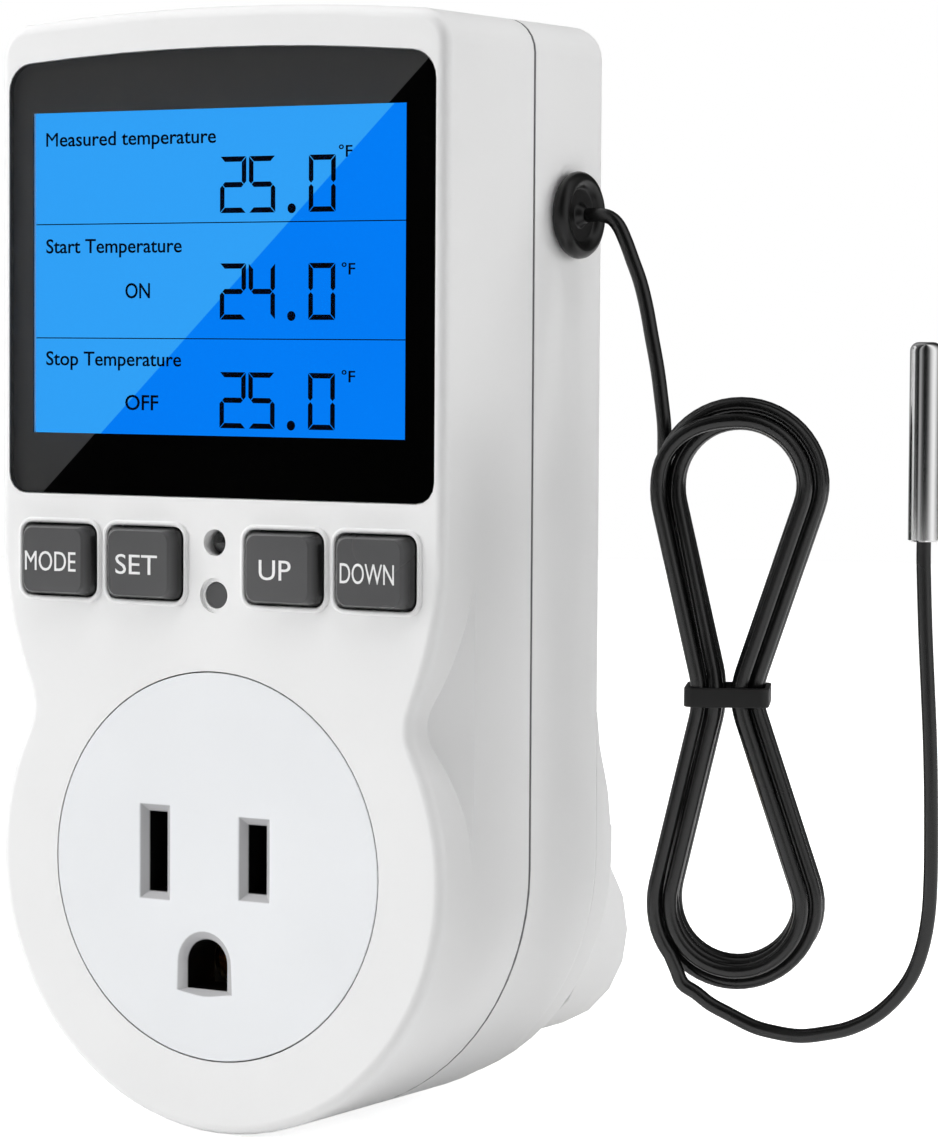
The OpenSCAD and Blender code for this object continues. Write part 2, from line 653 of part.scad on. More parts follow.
// Control board with its chips, switches and indicator
board_cut = 1;
shoulder_gap = 2.6;
shoulder_z = top_post[1] - front_post_r - shoulder_gap;
chip_t = 1.5;
main_chip_w = 10;
chip_up = 0.9;
chip_side = 13;
main_chip_at = [0, lcd_z + chip_up];
memory_w = 5;
memory_h = 4;
memory_at = [-chip_side, main_chip_at[1] + memory_h * 3 / 4];
supply_w = 6.5;
supply_h = 3.5;
supply_at = [-chip_side, main_chip_at[1] - memory_h];
crystal_in = [9.5, 6];
crystal_at = [crystal_in[0], main_chip_at[1] - crystal_in[1]];
crystal_r = 1.6;
module control_board() {
    color("#1f6b3a") placed() difference() {
        deep(board_y, board_back_y)
            polygon(closed([[0, board_low_z], [board_half_w - board_cut, board_low_z],
            [board_half_w, board_low_z + board_cut], [board_half_w, shoulder_z],
                [tab_half_w + board_cut, shoulder_z],
            [tab_half_w, shoulder_z + board_cut], [tab_half_w, tab_z], [0, tab_z]]));
        for (p = hold_at) rod(p, small_shank_r + run_fit, board_y - over, board_back_y + over);
    }
}
module control_chips() {
    color("#26262a") placed() {
        slab(main_chip_at, main_chip_w, main_chip_w, board_back_y, board_back_y + chip_t);
        slab(memory_at, memory_w, memory_h, board_back_y, board_back_y + chip_t);
        slab(supply_at, supply_w, supply_h, board_back_y, board_back_y + chip_t);
        rod(crystal_at, crystal_r, board_back_y, board_back_y + 3 * chip_t);
    }
}
switch_w = 6;
reset_switch_w = 4.4;
switch_t = 3.4;
switch_y = board_y - switch_t;
plunger_r = 1.7;
reset_plunger_r = 1.1;
plunger_out = 0.7;
plunger_y = switch_y - plunger_out;
plunger_l = 2.1;
module switch_bodies() {
    color("#2c2c30") placed() {
        for (x = [-key_out_x, -key_in_x, key_in_x, key_out_x]) difference() {
            slab([x, key_z], switch_w, switch_w, switch_y, board_y);
            rod([x, key_z], plunger_r + run_fit, switch_y - over,
                plunger_y + plunger_l + key_travel + run_fit);
        }
        difference() {
            slab([0, reset_z], reset_switch_w, reset_switch_w, switch_y, board_y);
            rod([0, reset_z], reset_plunger_r + run_fit, switch_y - over,
                plunger_y + plunger_l + key_travel + run_fit);
        }
    }
}
led_face_y = 0.7;
led_rim_y = 3.4;
led_leg_r = 0.25;
led_leg_x = 0.8;
module indicator_led() {
    color("#d9dde0") placed() {
        translate([0, led_face_y, led_z]) rotate([-90, 0, 0]) rotate_extrude($fn = 24) polygon(concat(
            [[0, led_rim_y - led_face_y], [0, 0]],
            rest(arc([0, led_d / 2 - run_fit], led_d / 2 - run_fit, -90, 0, 5)),
            [[led_d / 2 - run_fit, led_rim_y - led_face_y]]));
        for (s = [-1, 1]) rod([s * led_leg_x, led_z], led_leg_r, led_rim_y - fit, board_y);
    }
}

// Keys: a cap with slanted flanks, a retaining flange behind the wall, and a post down to the switch
key_brow = 0.35;
key_foot = 0.25;
flange_lap = 0.75;
flange_key_t = 0.8;
post_key_r = 2;
key_seat_y = wall + fit;
module key(x) {
    color("#4a4c50") placed() {
        translate([x, 0, key_z]) loft([
            flat_ring(round_rect(key_w - 2 * key_flank, key_h - 2 * key_brow, key_r, 4), -key_out),
            flat_ring(round_rect(key_w, key_h, key_r, 4), -key_foot),
            flat_ring(round_rect(key_w, key_h, key_r, 4), key_seat_y)], 0);
        slab([x, key_z], key_w - 2 * fit, key_h + 2 * flange_lap, key_seat_y, key_seat_y + flange_key_t);
        rod([x, key_z], post_key_r, key_seat_y + flange_key_t, plunger_y);
    }
}
module mode_button() { key(-key_out_x); }
module set_button() { key(-key_in_x); }
module up_button() { key(key_in_x); }
module down_button() { key(key_out_x); }
reset_face_y = 0.4;
module reset_button() {
    color("#3a3c40") placed() {
        rod([0, reset_z], reset_d / 2, reset_face_y, key_seat_y);
        rod([0, reset_z], reset_d / 2 + flange_lap, key_seat_y, key_seat_y + flange_key_t);
        rod([0, reset_z], reset_plunger_r, key_seat_y + flange_key_t, plunger_y);
    }
}
module plunger(x) { color("#b8442e") placed()
    rod([x, key_z], plunger_r, plunger_y, plunger_y + plunger_l); }
module mode_plunger() { plunger(-key_out_x); }
module set_plunger() { plunger(-key_in_x); }
module up_plunger() { plunger(key_in_x); }
module down_plunger() { plunger(key_out_x); }
module reset_plunger() {
    color("#b8442e") placed() rod([0, reset_z], reset_plunger_r, plunger_y, plunger_y + plunger_l);
}

// Power board and what stands on it, towards the front
// Places go up from the board's lower edge; what stands between the boards keeps clear of the other one
relay_in = 0.8;
film_in = 3;
can_in = 2;
relay_up = 13.8;
relay_side = 2.6;
relay_mid = 0.9;
relay_size = [power_half_w - relay_side - relay_mid, 15.4, board_space - relay_in];
relay_at = [relay_side - power_half_w + relay_size[0] / 2, power_low_z + relay_up];
film_up = 9.9;
film_side = 4.2;
film_size = [power_half_w - film_side - relay_in, 8, board_space - film_in];
film_at = [film_size[0] / 2 + relay_in, power_low_z + film_up];
fuse_up = 20.4;
fuse_size = [8.5, 4, board_space / 2];
fuse_side = 10.5;
fuse_at = [power_half_w - fuse_side, power_low_z + fuse_up];
can_x = 0.5;
big_can_r = 4;
big_can_l = board_space - chip_t - can_in;
big_can_up = 31.4;
big_can_at = [can_x, power_low_z + big_can_up];
small_can_r = 3.15;
small_can_l = big_can_l - chip_t;
small_can_up = 42.4;
small_can_at = [can_x, power_low_z + small_can_up];
diode_side = 8.5;
diode_x = diode_side - power_half_w;
diode_up = 26.4;
diode_z = power_low_z + diode_up;
diode_step = 4;
diode_r = 1.35;
diode_l = 5.2;
link_below = 3.1;
link_z = power_high_z - link_below;
link_step = 2;
link_r = 0.32;
module power_board() {
    color("#b58a4a") placed() difference() {
        deep(power_y, power_back_y)
            polygon(closed([[0, power_low_z], [power_half_w - board_cut, power_low_z],
            [power_half_w, power_low_z + board_cut], [power_half_w, power_high_z - board_cut],
            [power_half_w - board_cut, power_high_z], [0, power_high_z]]));
        for (p = power_at) rod(p, small_shank_r + run_fit, power_y - over, power_back_y + over);
    }
}
module relay() { color("#2f6fb5") placed()
    slab(relay_at, relay_size[0], relay_size[1], power_y - relay_size[2], power_y); }
module film_capacitor() { color("#c9a227") placed()
    slab(film_at, film_size[0], film_size[1], power_y - film_size[2], power_y); }
module fuse() { color("#3a3a3a") placed()
    slab(fuse_at, fuse_size[0], fuse_size[1], power_y - fuse_size[2], power_y); }
module electrolytic_capacitors() {
    color("#20242c") placed() {
        rod(big_can_at, big_can_r, power_y - big_can_l, power_y);
        rod(small_can_at, small_can_r, power_y - small_can_l, power_y);
    }
}
module power_diodes() {
    color("#1c1c1e") placed() for (i = [0 : 3])
        translate([diode_x - diode_l / 2, power_y - diode_r, diode_z + i * diode_step]) rotate([0, 90, 0])
            cylinder(h = diode_l, r = diode_r, $fn = 24);
}
module board_link() {
    color("#d8d8d8") placed() for (i = [-2 : 2])
        rod([i * link_step, link_z], link_r, board_back_y, power_y);
}

// Fasteners
module screw(at, r, hr, ht, y0, y1) {
    rod(at, r, y0, y1);
    rod(at, hr, y1, y1 + ht);
}
module housing_screws() { color("#b9bcc0") placed() for (p = post_at)
    screw(p, shank_r, head_r, head_t, seat_y - screw_l, seat_y); }
module control_board_screws() {
    color("#b9bcc0") placed() for (p = hold_at)
        screw(p, small_shank_r, small_head_r, small_head_t, board_y - bite, board_back_y);
}
module power_board_screws() {
    color("#b9bcc0") placed() for (p = power_at) {
        rod(p, small_shank_r, power_y, power_y + bite);
        rod(p, small_head_r, power_y - small_head_t, power_y);
    }
}
module plug_base_screws() {
    color("#b9bcc0") placed() for (p = base_hold_at) {
        rod(p, small_shank_r, inner_swell_y, swell_y + base_bite);
        rod(p, small_head_r, inner_swell_y - small_head_t, inner_swell_y);
    }
}

// A round tube swept along points; its rings stand square to the path, turned by a fixed side direction
function unit(v) = v / norm(v);
function heading(p, i) = unit(p[min(i + 1, len(p) - 1)] - p[max(i - 1, 0)]);
function tube_ring(c, t, r, n, side) = let (u = unit(cross(t, side)), w = cross(t, u))
    [for (k = [0 : n - 1]) c + r * (cos(360 * k / n) * u + sin(360 * k / n) * w)];
module tube(path, r, n, side) {
    last = len(path) - 1;
    a = n * len(path);
    polyhedron(
        points = concat([for (i = [0 : last]) each tube_ring(path[i], heading(path, i), r, n, side)],
            [path[0], path[last]]),
        faces = concat(
            [for (i = [0 : last - 1], k = [0 : n - 1]) [i * n + k, (i + 1) * n + (k + 1) % n,
                i * n + (k + 1) % n]],
            [for (i = [0 : last - 1], k = [0 : n - 1]) [i * n + k, (i + 1) * n + k,
                (i + 1) * n + (k + 1) % n]],
            [for (k = [0 : n - 1]) [a, k, (k + 1) % n]],
            [for (k = [0 : n - 1]) [a + 1, last * n + (k + 1) % n, last * n + k]]));
}

// Mains leads: neutral and ground go straight across, the line goes up to the power board and back
wire_r = 0.9;
tail_y = carrier_back_y + tail_l;
back_tail_y = base_inner_y - blade_tail;
lead_steps = 8;
function lead_between(a, b) = concat([a], [for (i = [0 : lead_steps]) let (s = i / lead_steps)
    [a[0] + (b[0] - a[0]) * ease(s), a[1] + wire_r + (b[1] - a[1] - 2 * wire_r) * s,
        a[2] + (b[2] - a[2]) * ease(s)]], [b]);
// Points between the ends: wire radii across and in depth, and shares of the height between the ends
pad_up = 2.8;
pad_z = power_low_z + pad_up;
up_shares = [[0, -2, 0], [1.2, -3, 0.03], [2.7, -3.7, 0.1], [3.8, -4.1, 0.22], [3.9, -4.8, 0.43],
    [3.4, -5.6, 0.66],
    [2.6, -6.3, 0.85], [2, -6.5, 0.94], [1.8, -5.9, 0.99]];
back_shares = [[0, 1, 0], [-0.2, 2.2, 0.05], [-0.9, 2.4, 0.14], [-2.1, 1.8, 0.32], [-3.9, 0.2, 0.56],
    [-5.4, -1.1, 0.8],
    [-5.7, -1.5, 0.93], [-5.7, -0.8, 0.99]];
function lead_by(a, shares) = let (x = a[0] + shares[len(shares) - 1][0] * wire_r)
    concat([a], [for (s = shares) [a[0] + s[0] * wire_r, a[1] + s[1] * wire_r,
        a[2] + s[2] * (pad_z - a[2])]],
        [[x, power_y - wire_r, pad_z], [x, power_y, pad_z]]);
module mains_leads() {
    color("#303038") placed() {
        tube(lead_between([neutral_in[0], tail_y, neutral_in[1]], [-slot_x, back_tail_y, blade_z]),
            wire_r, 8, [1, 0, 0]);
        tube(lead_between([ground_in[0], tail_y, ground_in[1]], [0, back_tail_y, pin_z]), wire_r, 8,
            [1, 0, 0]);
        tube(lead_by([slot_x, back_tail_y, blade_z], up_shares), wire_r, 8, [1, 0, 0]);
        tube(lead_by([line_in[0], tail_y, line_in[1]], back_shares), wire_r, 8, [1, 0, 0]);
    }
}

// Gland: a domed rubber flange with a dished middle, a neck through the wall and a flange inside
gland_out = 1.9;
gland_in = 1.2;
gland_inner_r = 4;
dish_r = 3.2;
dish_y = 0.8;
cone_r = 1.35;
outlet = [half_w + gland_out, gland_y, gland_z];
inlet = [half_w - wall - gland_in, gland_y, gland_z];
module cord_gland() {
    color("#161616") placed() translate([half_w, gland_y, gland_z]) rotate([0, 90, 0])
        rotate_extrude($fn = 48)
        polygon(concat([[0, -wall - gland_in], [gland_inner_r, -wall - gland_in], [gland_inner_r, -wall],
            [gland_neck_r, -wall], [gland_neck_r, 0]],
            arc([gland_d / 2 - gland_out / 2, gland_out / 2], gland_out / 2, -90, 90, 8),
            [[dish_r, gland_out - dish_y / 4], [dish_r - dish_y / 2, gland_out - dish_y],
                [cone_r, gland_out - dish_y],
                [cord_d / 2 + fit, gland_out], [0, gland_out]]));
}

// Inner lead from the gland to its connector on the control board
plug_in = 11.25;
plug_below = 0.4;
plug_at = [half_w - plug_in, gland_z - plug_below];
plug_size = [8, 5, 5];
plug_end_y = board_back_y + plug_size[2];
module lead_connector() { color("#e8e4d8") placed()
    slab(plug_at, plug_size[0], plug_size[1], board_back_y, plug_end_y); }
// Points between the ends: cord diameters across and up, and shares of the depth
inner_shares = [[-2, 0.18, 0], [-3.6, 0.49, -0.13], [-4.8, 0.75, -0.27]];
inner_route = concat([inlet, inlet - [cord_d, 0, 0]],
    [for (s = inner_shares) [inlet[0] + s[0] * cord_d,
        inlet[1] + s[1] * (plug_end_y + cord_d - inlet[1]), inlet[2] + s[2] * cord_d]],
    [[plug_at[0], plug_end_y + cord_d, plug_at[1]], [plug_at[0], plug_end_y, plug_at[1]]]);
module inner_lead() { color("#1c1c1c") placed() tube(inner_route, cord_d / 2, 8, [0, 0, 1]); }

// Bound hank: middle, lobes, waist, its turn about the upright, and how far the waist lies to the left
hank_c = [48.55, 25, 18.8];
lobe_h = 21.6;
lobe_r = 8.45;
waist_w = 3;
waist_r = 8;
waist_lean = 1.1;
hank_turn = 25.7;
turn_rings = 24;
first_t = 3;
last_t = 154;
shift_rings = 3;
shifts = 7;
layers = floor(shifts / 2) + 1;
waist_span = norm([waist_w + waist_r, lobe_h]);
run_a = acos((lobe_r + waist_r) / waist_span) - atan2(lobe_h, waist_w + waist_r);
// One quarter of a turn, from the top of a lobe to the waist, drawn in by a distance
function quarter(k, in) = k <= 4 ? [0, lobe_h] + (lobe_r - in) * spoke(90 - (90 - run_a) * k / 4)
    : k <= 5 ? (5 - k) * quarter(4,
        in) + (k - 4) * ([waist_w + waist_r, 0] + (waist_r + in) * spoke(180 + run_a))
    : [waist_w + waist_r, 0] + (waist_r + in) * spoke(180 + run_a * (6 - k));
// A whole turn is four quarters, mirrored in turn
function turn_point(t, in) = let (q = floor((t % turn_rings) / 6), f = t % 6, k = q % 2 == 1 ? 6 - f : f,
    p = quarter(k, in))
    [(q < 2 ? -1 : 1) * p[0], (q == 0 || q == 3 ? 1 : -1) * p[1]];
// The turns lie in two columns. The tube crosses to the other column and climbs a layer in turn,
// each time a little before it comes round to the place of the last shift
function ease(s) = (1 - cos(180 * min(max(s, 0), 1))) / 2;
function shift_share(t, i) = ease((t - (turn_rings - shift_rings) * i) / shift_rings + 1);
function column(t, i = 1) = i > shifts ? 0
    : (i % 4 == 1 ? 1 : -1) * shift_share(t, i) + column(t, i + 2);
function layer(t, i = 2) = i > shifts ? 0 : shift_share(t, i) + layer(t, i + 2);
function hank_point(t) = let (p = turn_point(t, turn_step * column(t)),
    x = p[0] - waist_lean * max(0, 1 - abs(p[1]) / lobe_h),
    d = turn_step * ((layers - 1) / 2 - layer(t)))
    [hank_c[0] + x * cos(hank_turn) - d * sin(hank_turn),
        hank_c[1] + x * sin(hank_turn) + d * cos(hank_turn), hank_c[2] + p[1]];
hank_mid = [for (t = [first_t : last_t]) hank_point(t)];
in_dir = unit(hank_mid[1] - hank_mid[0]);
out_dir = unit(hank_mid[len(hank_mid) - 1] - hank_mid[len(hank_mid) - 2]);
hank_in = hank_mid[0] - cord_d * in_dir;
hank_out = hank_mid[len(hank_mid) - 1] + cord_d * out_dir;
// Least gap of the hank to itself, over points three to a ring, leaving out near neighbours on the tube
function fine_points() = [for (i = [0 : len(hank_mid) - 2], s = [0 : 2])
    hank_mid[i] + (hank_mid[i + 1] - hank_mid[i]) * s / 3];
function least_gap(p) = min([for (i = [0 : len(p) - 1], j = [i + turn_rings : len(p) - 1])
    norm(p[i] - p[j])]) - cord_d;
function path_length(p) = [for (i = [0 : len(p) - 2])
    norm(p[i + 1] - p[i])] * [for (i = [0 : len(p) - 2]) 1];
module probe_hank() {
    echo(least_gap_of_hank = least_gap(fine_points()), hank_length = path_length(hank_mid),
        lead_length = path_length(lead_route), tail_length = path_length(tail_route));
    color("#141414") placed() tube(concat([hank_in], hank_mid, [hank_out]), cord_d / 2, 6,
        [-sin(hank_turn), cos(hank_turn), 0]);
}

// Free stretches of the cord, by hand: from the gland down to the hank, and from the hank round to the probe
lead_route = [outlet, outlet + [cord_d, 0, 0], [33, 24.8, 68.1], [34, 24.8, 67.2], [34.8, 24.9, 65.6],
    [35.6, 25, 63.6], [36.4, 25.2, 61.4], [37.1, 25.3, 58.8], [37.8, 25.2, 55.8], [38.7, 24.9, 52.4],
    [39.4, 24.5, 49.4], hank_in - 2 * cord_d * in_dir, hank_in];
probe_at = [69.4, 25];
probe_z = 35.3;
potting_in = 0.3;
tail_route = [hank_out, hank_out + 1.2 * cord_d * out_dir, [46.3, 20.5, -11.8], [47.7, 21, -12.9],
    [49.4, 21.6, -13.8], [52, 22.3, -15], [54.3, 22.8, -15.5], [57, 23.3, -15.7], [59.8, 23.8, -15.2],
    [62.2, 24.1, -14.5],
    [64.8, 24.4, -13.1], [67, 24.6, -11.1], [68.7, 24.8, -8.7], [69.8, 24.9, -5.8], [70.4, 25, -2.4],
    [70.6, 25, 1.4], [70.6, 25, 6], [70.5, 25, 11], [70.3, 25, 16], [70, 25, 21], [69.7, 25, 26],
    [69.5, 25, 30.5], [69.4, 25, 33.4], [probe_at[0], probe_at[1], probe_z + potting_in]];
module probe_lead() { color("#141414") placed() tube(lead_route, cord_d / 2, 8, [0, 1, 0]); }
module probe_tail() { color("#141414") placed() tube(tail_route, cord_d / 2, 8, [0, 1, 0]); }

// Tie round the hank's waist
tie_h = 2;
tie_t = 0.5;
tie_gap = 0.12;
tie_half_x = waist_w + cord_d / 2 + tie_gap;
tie_half_y = turn_step * (layers - 1) / 2 + cord_d / 2 + tie_gap;
module hank_tie() {
    color("#2a2a2a") placed() translate(hank_c) rotate([0, 0, hank_turn])
        translate([-waist_lean, 0, -tie_h / 2]) linear_extrude(tie_h) difference() {
        polygon(round_rect(2 * (tie_half_x + tie_t), 2 * (tie_half_y + tie_t), tie_t * 2, 4));
        polygon(round_rect(2 * tie_half_x, 2 * tie_half_y, tie_t, 4));
    }
}

// Probe: a steel tube with a rounded closed end, filled round the thermistor, the cord entering below
tube_t = 0.3;
tip_r = 0.9;
bead_l = 2.6;
bead_r = 1;
module turned(r_at) { translate([probe_at[0], probe_at[1], probe_z]) rotate_extrude($fn = 32)
    polygon(r_at); }
module probe_tube() {
    color("#b8bcc2") placed()
        turned(concat([[probe_d / 2 - tube_t, 0], [probe_d / 2 - tube_t / 2, 0],
            [probe_d / 2, tube_t / 2]],
        arc([probe_d / 2 - tip_r, probe_l - tip_r], tip_r, 0, 90, 6),
        [[0, probe_l], [0, probe_l - tube_t], [probe_d / 2 - tube_t, probe_l - tip_r]]));
}
module probe_potting() {
    color("#2c2c2c") placed() turned([[0, potting_in], [probe_d / 2 - tube_t - fit, potting_in],
        [probe_d / 2 - tube_t - fit, probe_l - tip_r - bead_l], [0, probe_l - tip_r - bead_l]]);
}
module thermistor_bead() {
    color("#7a4a2a") placed()
        turned([[0, probe_l - tip_r - bead_l], [bead_r / 2, probe_l - tip_r - bead_l],
        [bead_r, probe_l - tip_r - bead_l * 3 / 4], [bead_r, probe_l - tip_r - bead_l / 4],
            [bead_r / 2, probe_l - tip_r],
        [0, probe_l - tip_r]]);
}

front_shell();
rear_shell();
plug_base();
socket_face();
display_window();
window_mask();
lcd_panel();
lcd_backlight();
lcd_holder();
contact_strips();
control_board();
control_chips();
switch_bodies();
mode_button();
set_button();
up_button();
down_button();
reset_button();
mode_plunger();
set_plunger();
up_plunger();
down_plunger();
reset_plunger();
indicator_led();
power_board();
relay();
film_capacitor();
electrolytic_capacitors();
power_diodes();
fuse();
board_link();
contact_carrier();
line_contact();
neutral_contact();
ground_contact();
line_blade();
neutral_blade();
ground_pin();
mains_leads();
housing_screws();
control_board_screws();
power_board_screws();
plug_base_screws();
cord_gland();
inner_lead();
lead_connector();
probe_lead();
probe_hank();
hank_tie();
probe_tail();
probe_tube();
probe_potting();
thermistor_bead();
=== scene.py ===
# %% [markdown]
# A plug-in temperature controller: a white housing with a lit display, four keys and a socket in
# front, a plug behind, and a steel probe on a thin black cord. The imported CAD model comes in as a
# fixed frame, and this script dresses it: it smooths the moulded pieces, prints the display and
# the key legends, lays the cord, and lights it all as the photograph is lit.

# %% Load the frame
import json
import math

import bmesh
import bpy
from mathutils import Matrix, Vector


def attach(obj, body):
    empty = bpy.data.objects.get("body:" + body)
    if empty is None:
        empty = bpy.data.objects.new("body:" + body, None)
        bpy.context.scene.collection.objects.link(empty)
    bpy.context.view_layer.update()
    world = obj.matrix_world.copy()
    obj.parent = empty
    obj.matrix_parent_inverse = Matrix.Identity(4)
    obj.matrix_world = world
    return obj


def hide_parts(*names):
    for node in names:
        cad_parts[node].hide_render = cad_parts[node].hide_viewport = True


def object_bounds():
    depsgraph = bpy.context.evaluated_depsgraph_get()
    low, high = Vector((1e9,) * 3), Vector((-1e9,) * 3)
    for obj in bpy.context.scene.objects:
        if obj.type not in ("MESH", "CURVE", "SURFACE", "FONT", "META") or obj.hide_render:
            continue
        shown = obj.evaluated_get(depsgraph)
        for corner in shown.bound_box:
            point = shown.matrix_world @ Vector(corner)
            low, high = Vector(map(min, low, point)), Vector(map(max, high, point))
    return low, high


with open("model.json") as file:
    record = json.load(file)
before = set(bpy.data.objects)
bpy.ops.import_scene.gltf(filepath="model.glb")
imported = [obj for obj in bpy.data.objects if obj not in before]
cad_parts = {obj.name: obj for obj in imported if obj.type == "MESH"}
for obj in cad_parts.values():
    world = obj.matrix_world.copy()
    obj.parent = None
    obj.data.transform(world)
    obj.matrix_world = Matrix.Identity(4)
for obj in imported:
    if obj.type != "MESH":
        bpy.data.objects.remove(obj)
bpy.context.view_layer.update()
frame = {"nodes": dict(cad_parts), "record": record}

# %% [markdown]
# The part's own drawing gives places in millimetres: x across, depth behind the front face, and
# height over the socket's axis. Blender works in metres from the middle of the plug's face. One
# small helper turns the first into the second, so every size below can be read on a ruler.

# %% Places in millimetres
MM = 0.001
BODY_DEPTH = 46
AXIS_UP = 10


def place(x, depth, height):
    return Vector((x, depth - BODY_DEPTH, height + AXIS_UP)) * MM


print("The front face lies at y =", round(place(0, 0, 0).y, 4), "m")

# %% [markdown]
# The camera stands where the photographer stood: to the right of the front and a little above,
# with a long lens, so that upright edges stay nearly parallel. The lens is stated in pixels of
# the photograph, which Blender turns into millimetres over a sensor 36 mm on its long side.

# %% Camera
PHOTO_HIGH = 1137
FOCAL_PX = 4089
SENSOR = 36
NEAR, FAR = 0.01, 50
EYE = place(246.1, -348, 55.1)
YAW, PITCH, ROLL = (math.radians(a) for a in (31.7, 3.18, 0.34))


def camera_axes():
    """The camera's directions to the right, upwards and back, each of length 1."""
    ahead = Vector((-math.sin(YAW) * math.cos(PITCH), math.cos(YAW) * math.cos(PITCH),
                    -math.sin(PITCH)))
    level = Vector((math.cos(YAW), math.sin(YAW), 0))
    upward = level.cross(ahead)
    right = math.cos(ROLL) * level + math.sin(ROLL) * upward
    return right, math.cos(ROLL) * upward - math.sin(ROLL) * level, -ahead


camera_data = bpy.data.cameras.new("camera")
camera_data.sensor_width = SENSOR
camera_data.lens = SENSOR * FOCAL_PX / PHOTO_HIGH
camera_data.clip_start, camera_data.clip_end = NEAR, FAR
camera = bpy.data.objects.new("camera", camera_data)
camera.matrix_world = Matrix.Translation(EYE) @ Matrix(camera_axes()).transposed().to_4x4()
bpy.context.scene.collection.objects.link(camera)
bpy.context.scene.camera = camera
print("Lens:", round(camera_data.lens, 1), "mm")

# %% [markdown]
# The probe's cord is one length of thin round cable. It leaves the gland straight, drops to a
# bound hank, winds through it, and loops up to the probe. The hank's turns come from a formula.
# Each turn is four mirrored quarters: an arc round the lobe, a straight run, and an arc into the
# waist. Two columns of turns lie side by side, and the tube shifts to the other column and to the
# next layer in turn, always a little before the place of the last shift, as a careful hand winds
# it. The CAD turns keep a gap for the sake of clean solids. The tie presses real turns together,
# so the drawn columns lie closer, and every second layer sits a little aside, which leaves no
# slit to see through. A ring is one of the 24 places round a turn at which the formula is read.

# %% Sizes of the hank
CORD_D = 1.5
TURN_STEP = 1.98
PRESSED_STEP = 1.65
PRESSED_SHIFT = 0.12
HANK_AT = (48.55, 25, 18.8)
LOBE_H, LOBE_R = 21.6, 8.45
WAIST_W, WAIST_R, WAIST_LEAN = 3, 8, 1.1
HANK_TURN = math.radians(25.7)
LOBE_STEPS, QUARTER_STEPS = 4, 6
TURN_RINGS = 4 * QUARTER_STEPS
FIRST_RING, LAST_RING = 3, 154
SHIFT_RINGS, SHIFTS = 3, 7
LAYERS = SHIFTS // 2 + 1
HOLLOW_X = WAIST_W + WAIST_R
RUN_ANGLE = (math.degrees(math.acos((LOBE_R + WAIST_R) / math.hypot(HOLLOW_X, LOBE_H)))
             - math.degrees(math.atan2(LOBE_H, HOLLOW_X)))
print("The straight runs lean by", round(-RUN_ANGLE, 1), "degrees")

# %% [markdown]
# A turn has the outline of a figure of eight pressed together by its tie. One quarter of it is an
# arc round the lobe, a straight run, and an arc into the waist. The other three quarters are the
# same one mirrored. The second column lies further inward, so each function takes that distance
# as well.

# %% One turn of the hank
def spoke(angle, reach):
    return Vector((math.cos(math.radians(angle)), math.sin(math.radians(angle)))) * reach


def quarter(step, inward):
    """A place on the first quarter: four steps round the lobe, one straight, one in the waist."""
    if step <= LOBE_STEPS:
        turned = (90 - RUN_ANGLE) * step / LOBE_STEPS
        return Vector((0, LOBE_H)) + spoke(90 - turned, LOBE_R - inward)
    hollow = Vector((HOLLOW_X, 0))
    run = step - LOBE_STEPS
    if run <= 1:
        run_end = hollow + spoke(180 + RUN_ANGLE, WAIST_R + inward)
        return (1 - run) * quarter(LOBE_STEPS, inward) + run * run_end
    return hollow + spoke(180 + RUN_ANGLE * (QUARTER_STEPS - step), WAIST_R + inward)


def turn_point(ring, inward):
    side, step = divmod(ring % TURN_RINGS, QUARTER_STEPS)
    point = quarter(QUARTER_STEPS - step if side % 2 else step, inward)
    return (-1 if side < 2 else 1) * point.x, (1 if side in (0, 3) else -1) * point.y


print("A turn is", round(2 * turn_point(0, 0)[1], 1), "mm high")

# %% [markdown]
# The cord can't jump from one column to the next. Each shift is spread over an eighth of a turn
# and eased by a cosine, so that the cord leaves and arrives without a kink. The number of shifts
# done so far says in which column and which layer the cord lies. Four points for each ring keep
# the drawn cord smooth.

# %% Shifts between columns and layers
def shift_share(ring, number):
    """How far one shift is done: 0 before it, 1 after it."""
    share = (ring - (TURN_RINGS - SHIFT_RINGS) * number) / SHIFT_RINGS + 1
    return (1 - math.cos(math.pi * min(max(share, 0), 1))) / 2


def hank_point(ring):
    """A place on the cord's middle line. Odd shifts change the column, even ones the layer."""
    column = sum((1 if i % 4 == 1 else -1) * shift_share(ring, i) for i in range(1, SHIFTS + 1, 2))
    layer = sum(shift_share(ring, i) for i in range(2, SHIFTS + 1, 2))
    pressed = (TURN_STEP - PRESSED_STEP) / 2 + PRESSED_STEP * column
    across, up = turn_point(ring, pressed + PRESSED_SHIFT * math.cos(math.pi * layer))
    across -= WAIST_LEAN * max(0, 1 - abs(up) / LOBE_H)
    back = TURN_STEP * ((LAYERS - 1) / 2 - layer)
    x, depth, height = HANK_AT
    return Vector((x + across * math.cos(HANK_TURN) - back * math.sin(HANK_TURN),
                   depth + across * math.sin(HANK_TURN) + back * math.cos(HANK_TURN), height + up))


FINE = 4
rings = LAST_RING - FIRST_RING
hank = [hank_point(FIRST_RING + i / FINE) for i in range(rings * FINE + 1)]
print("The hank has", len(hank), "points in", round(rings / TURN_RINGS, 1), "turns")
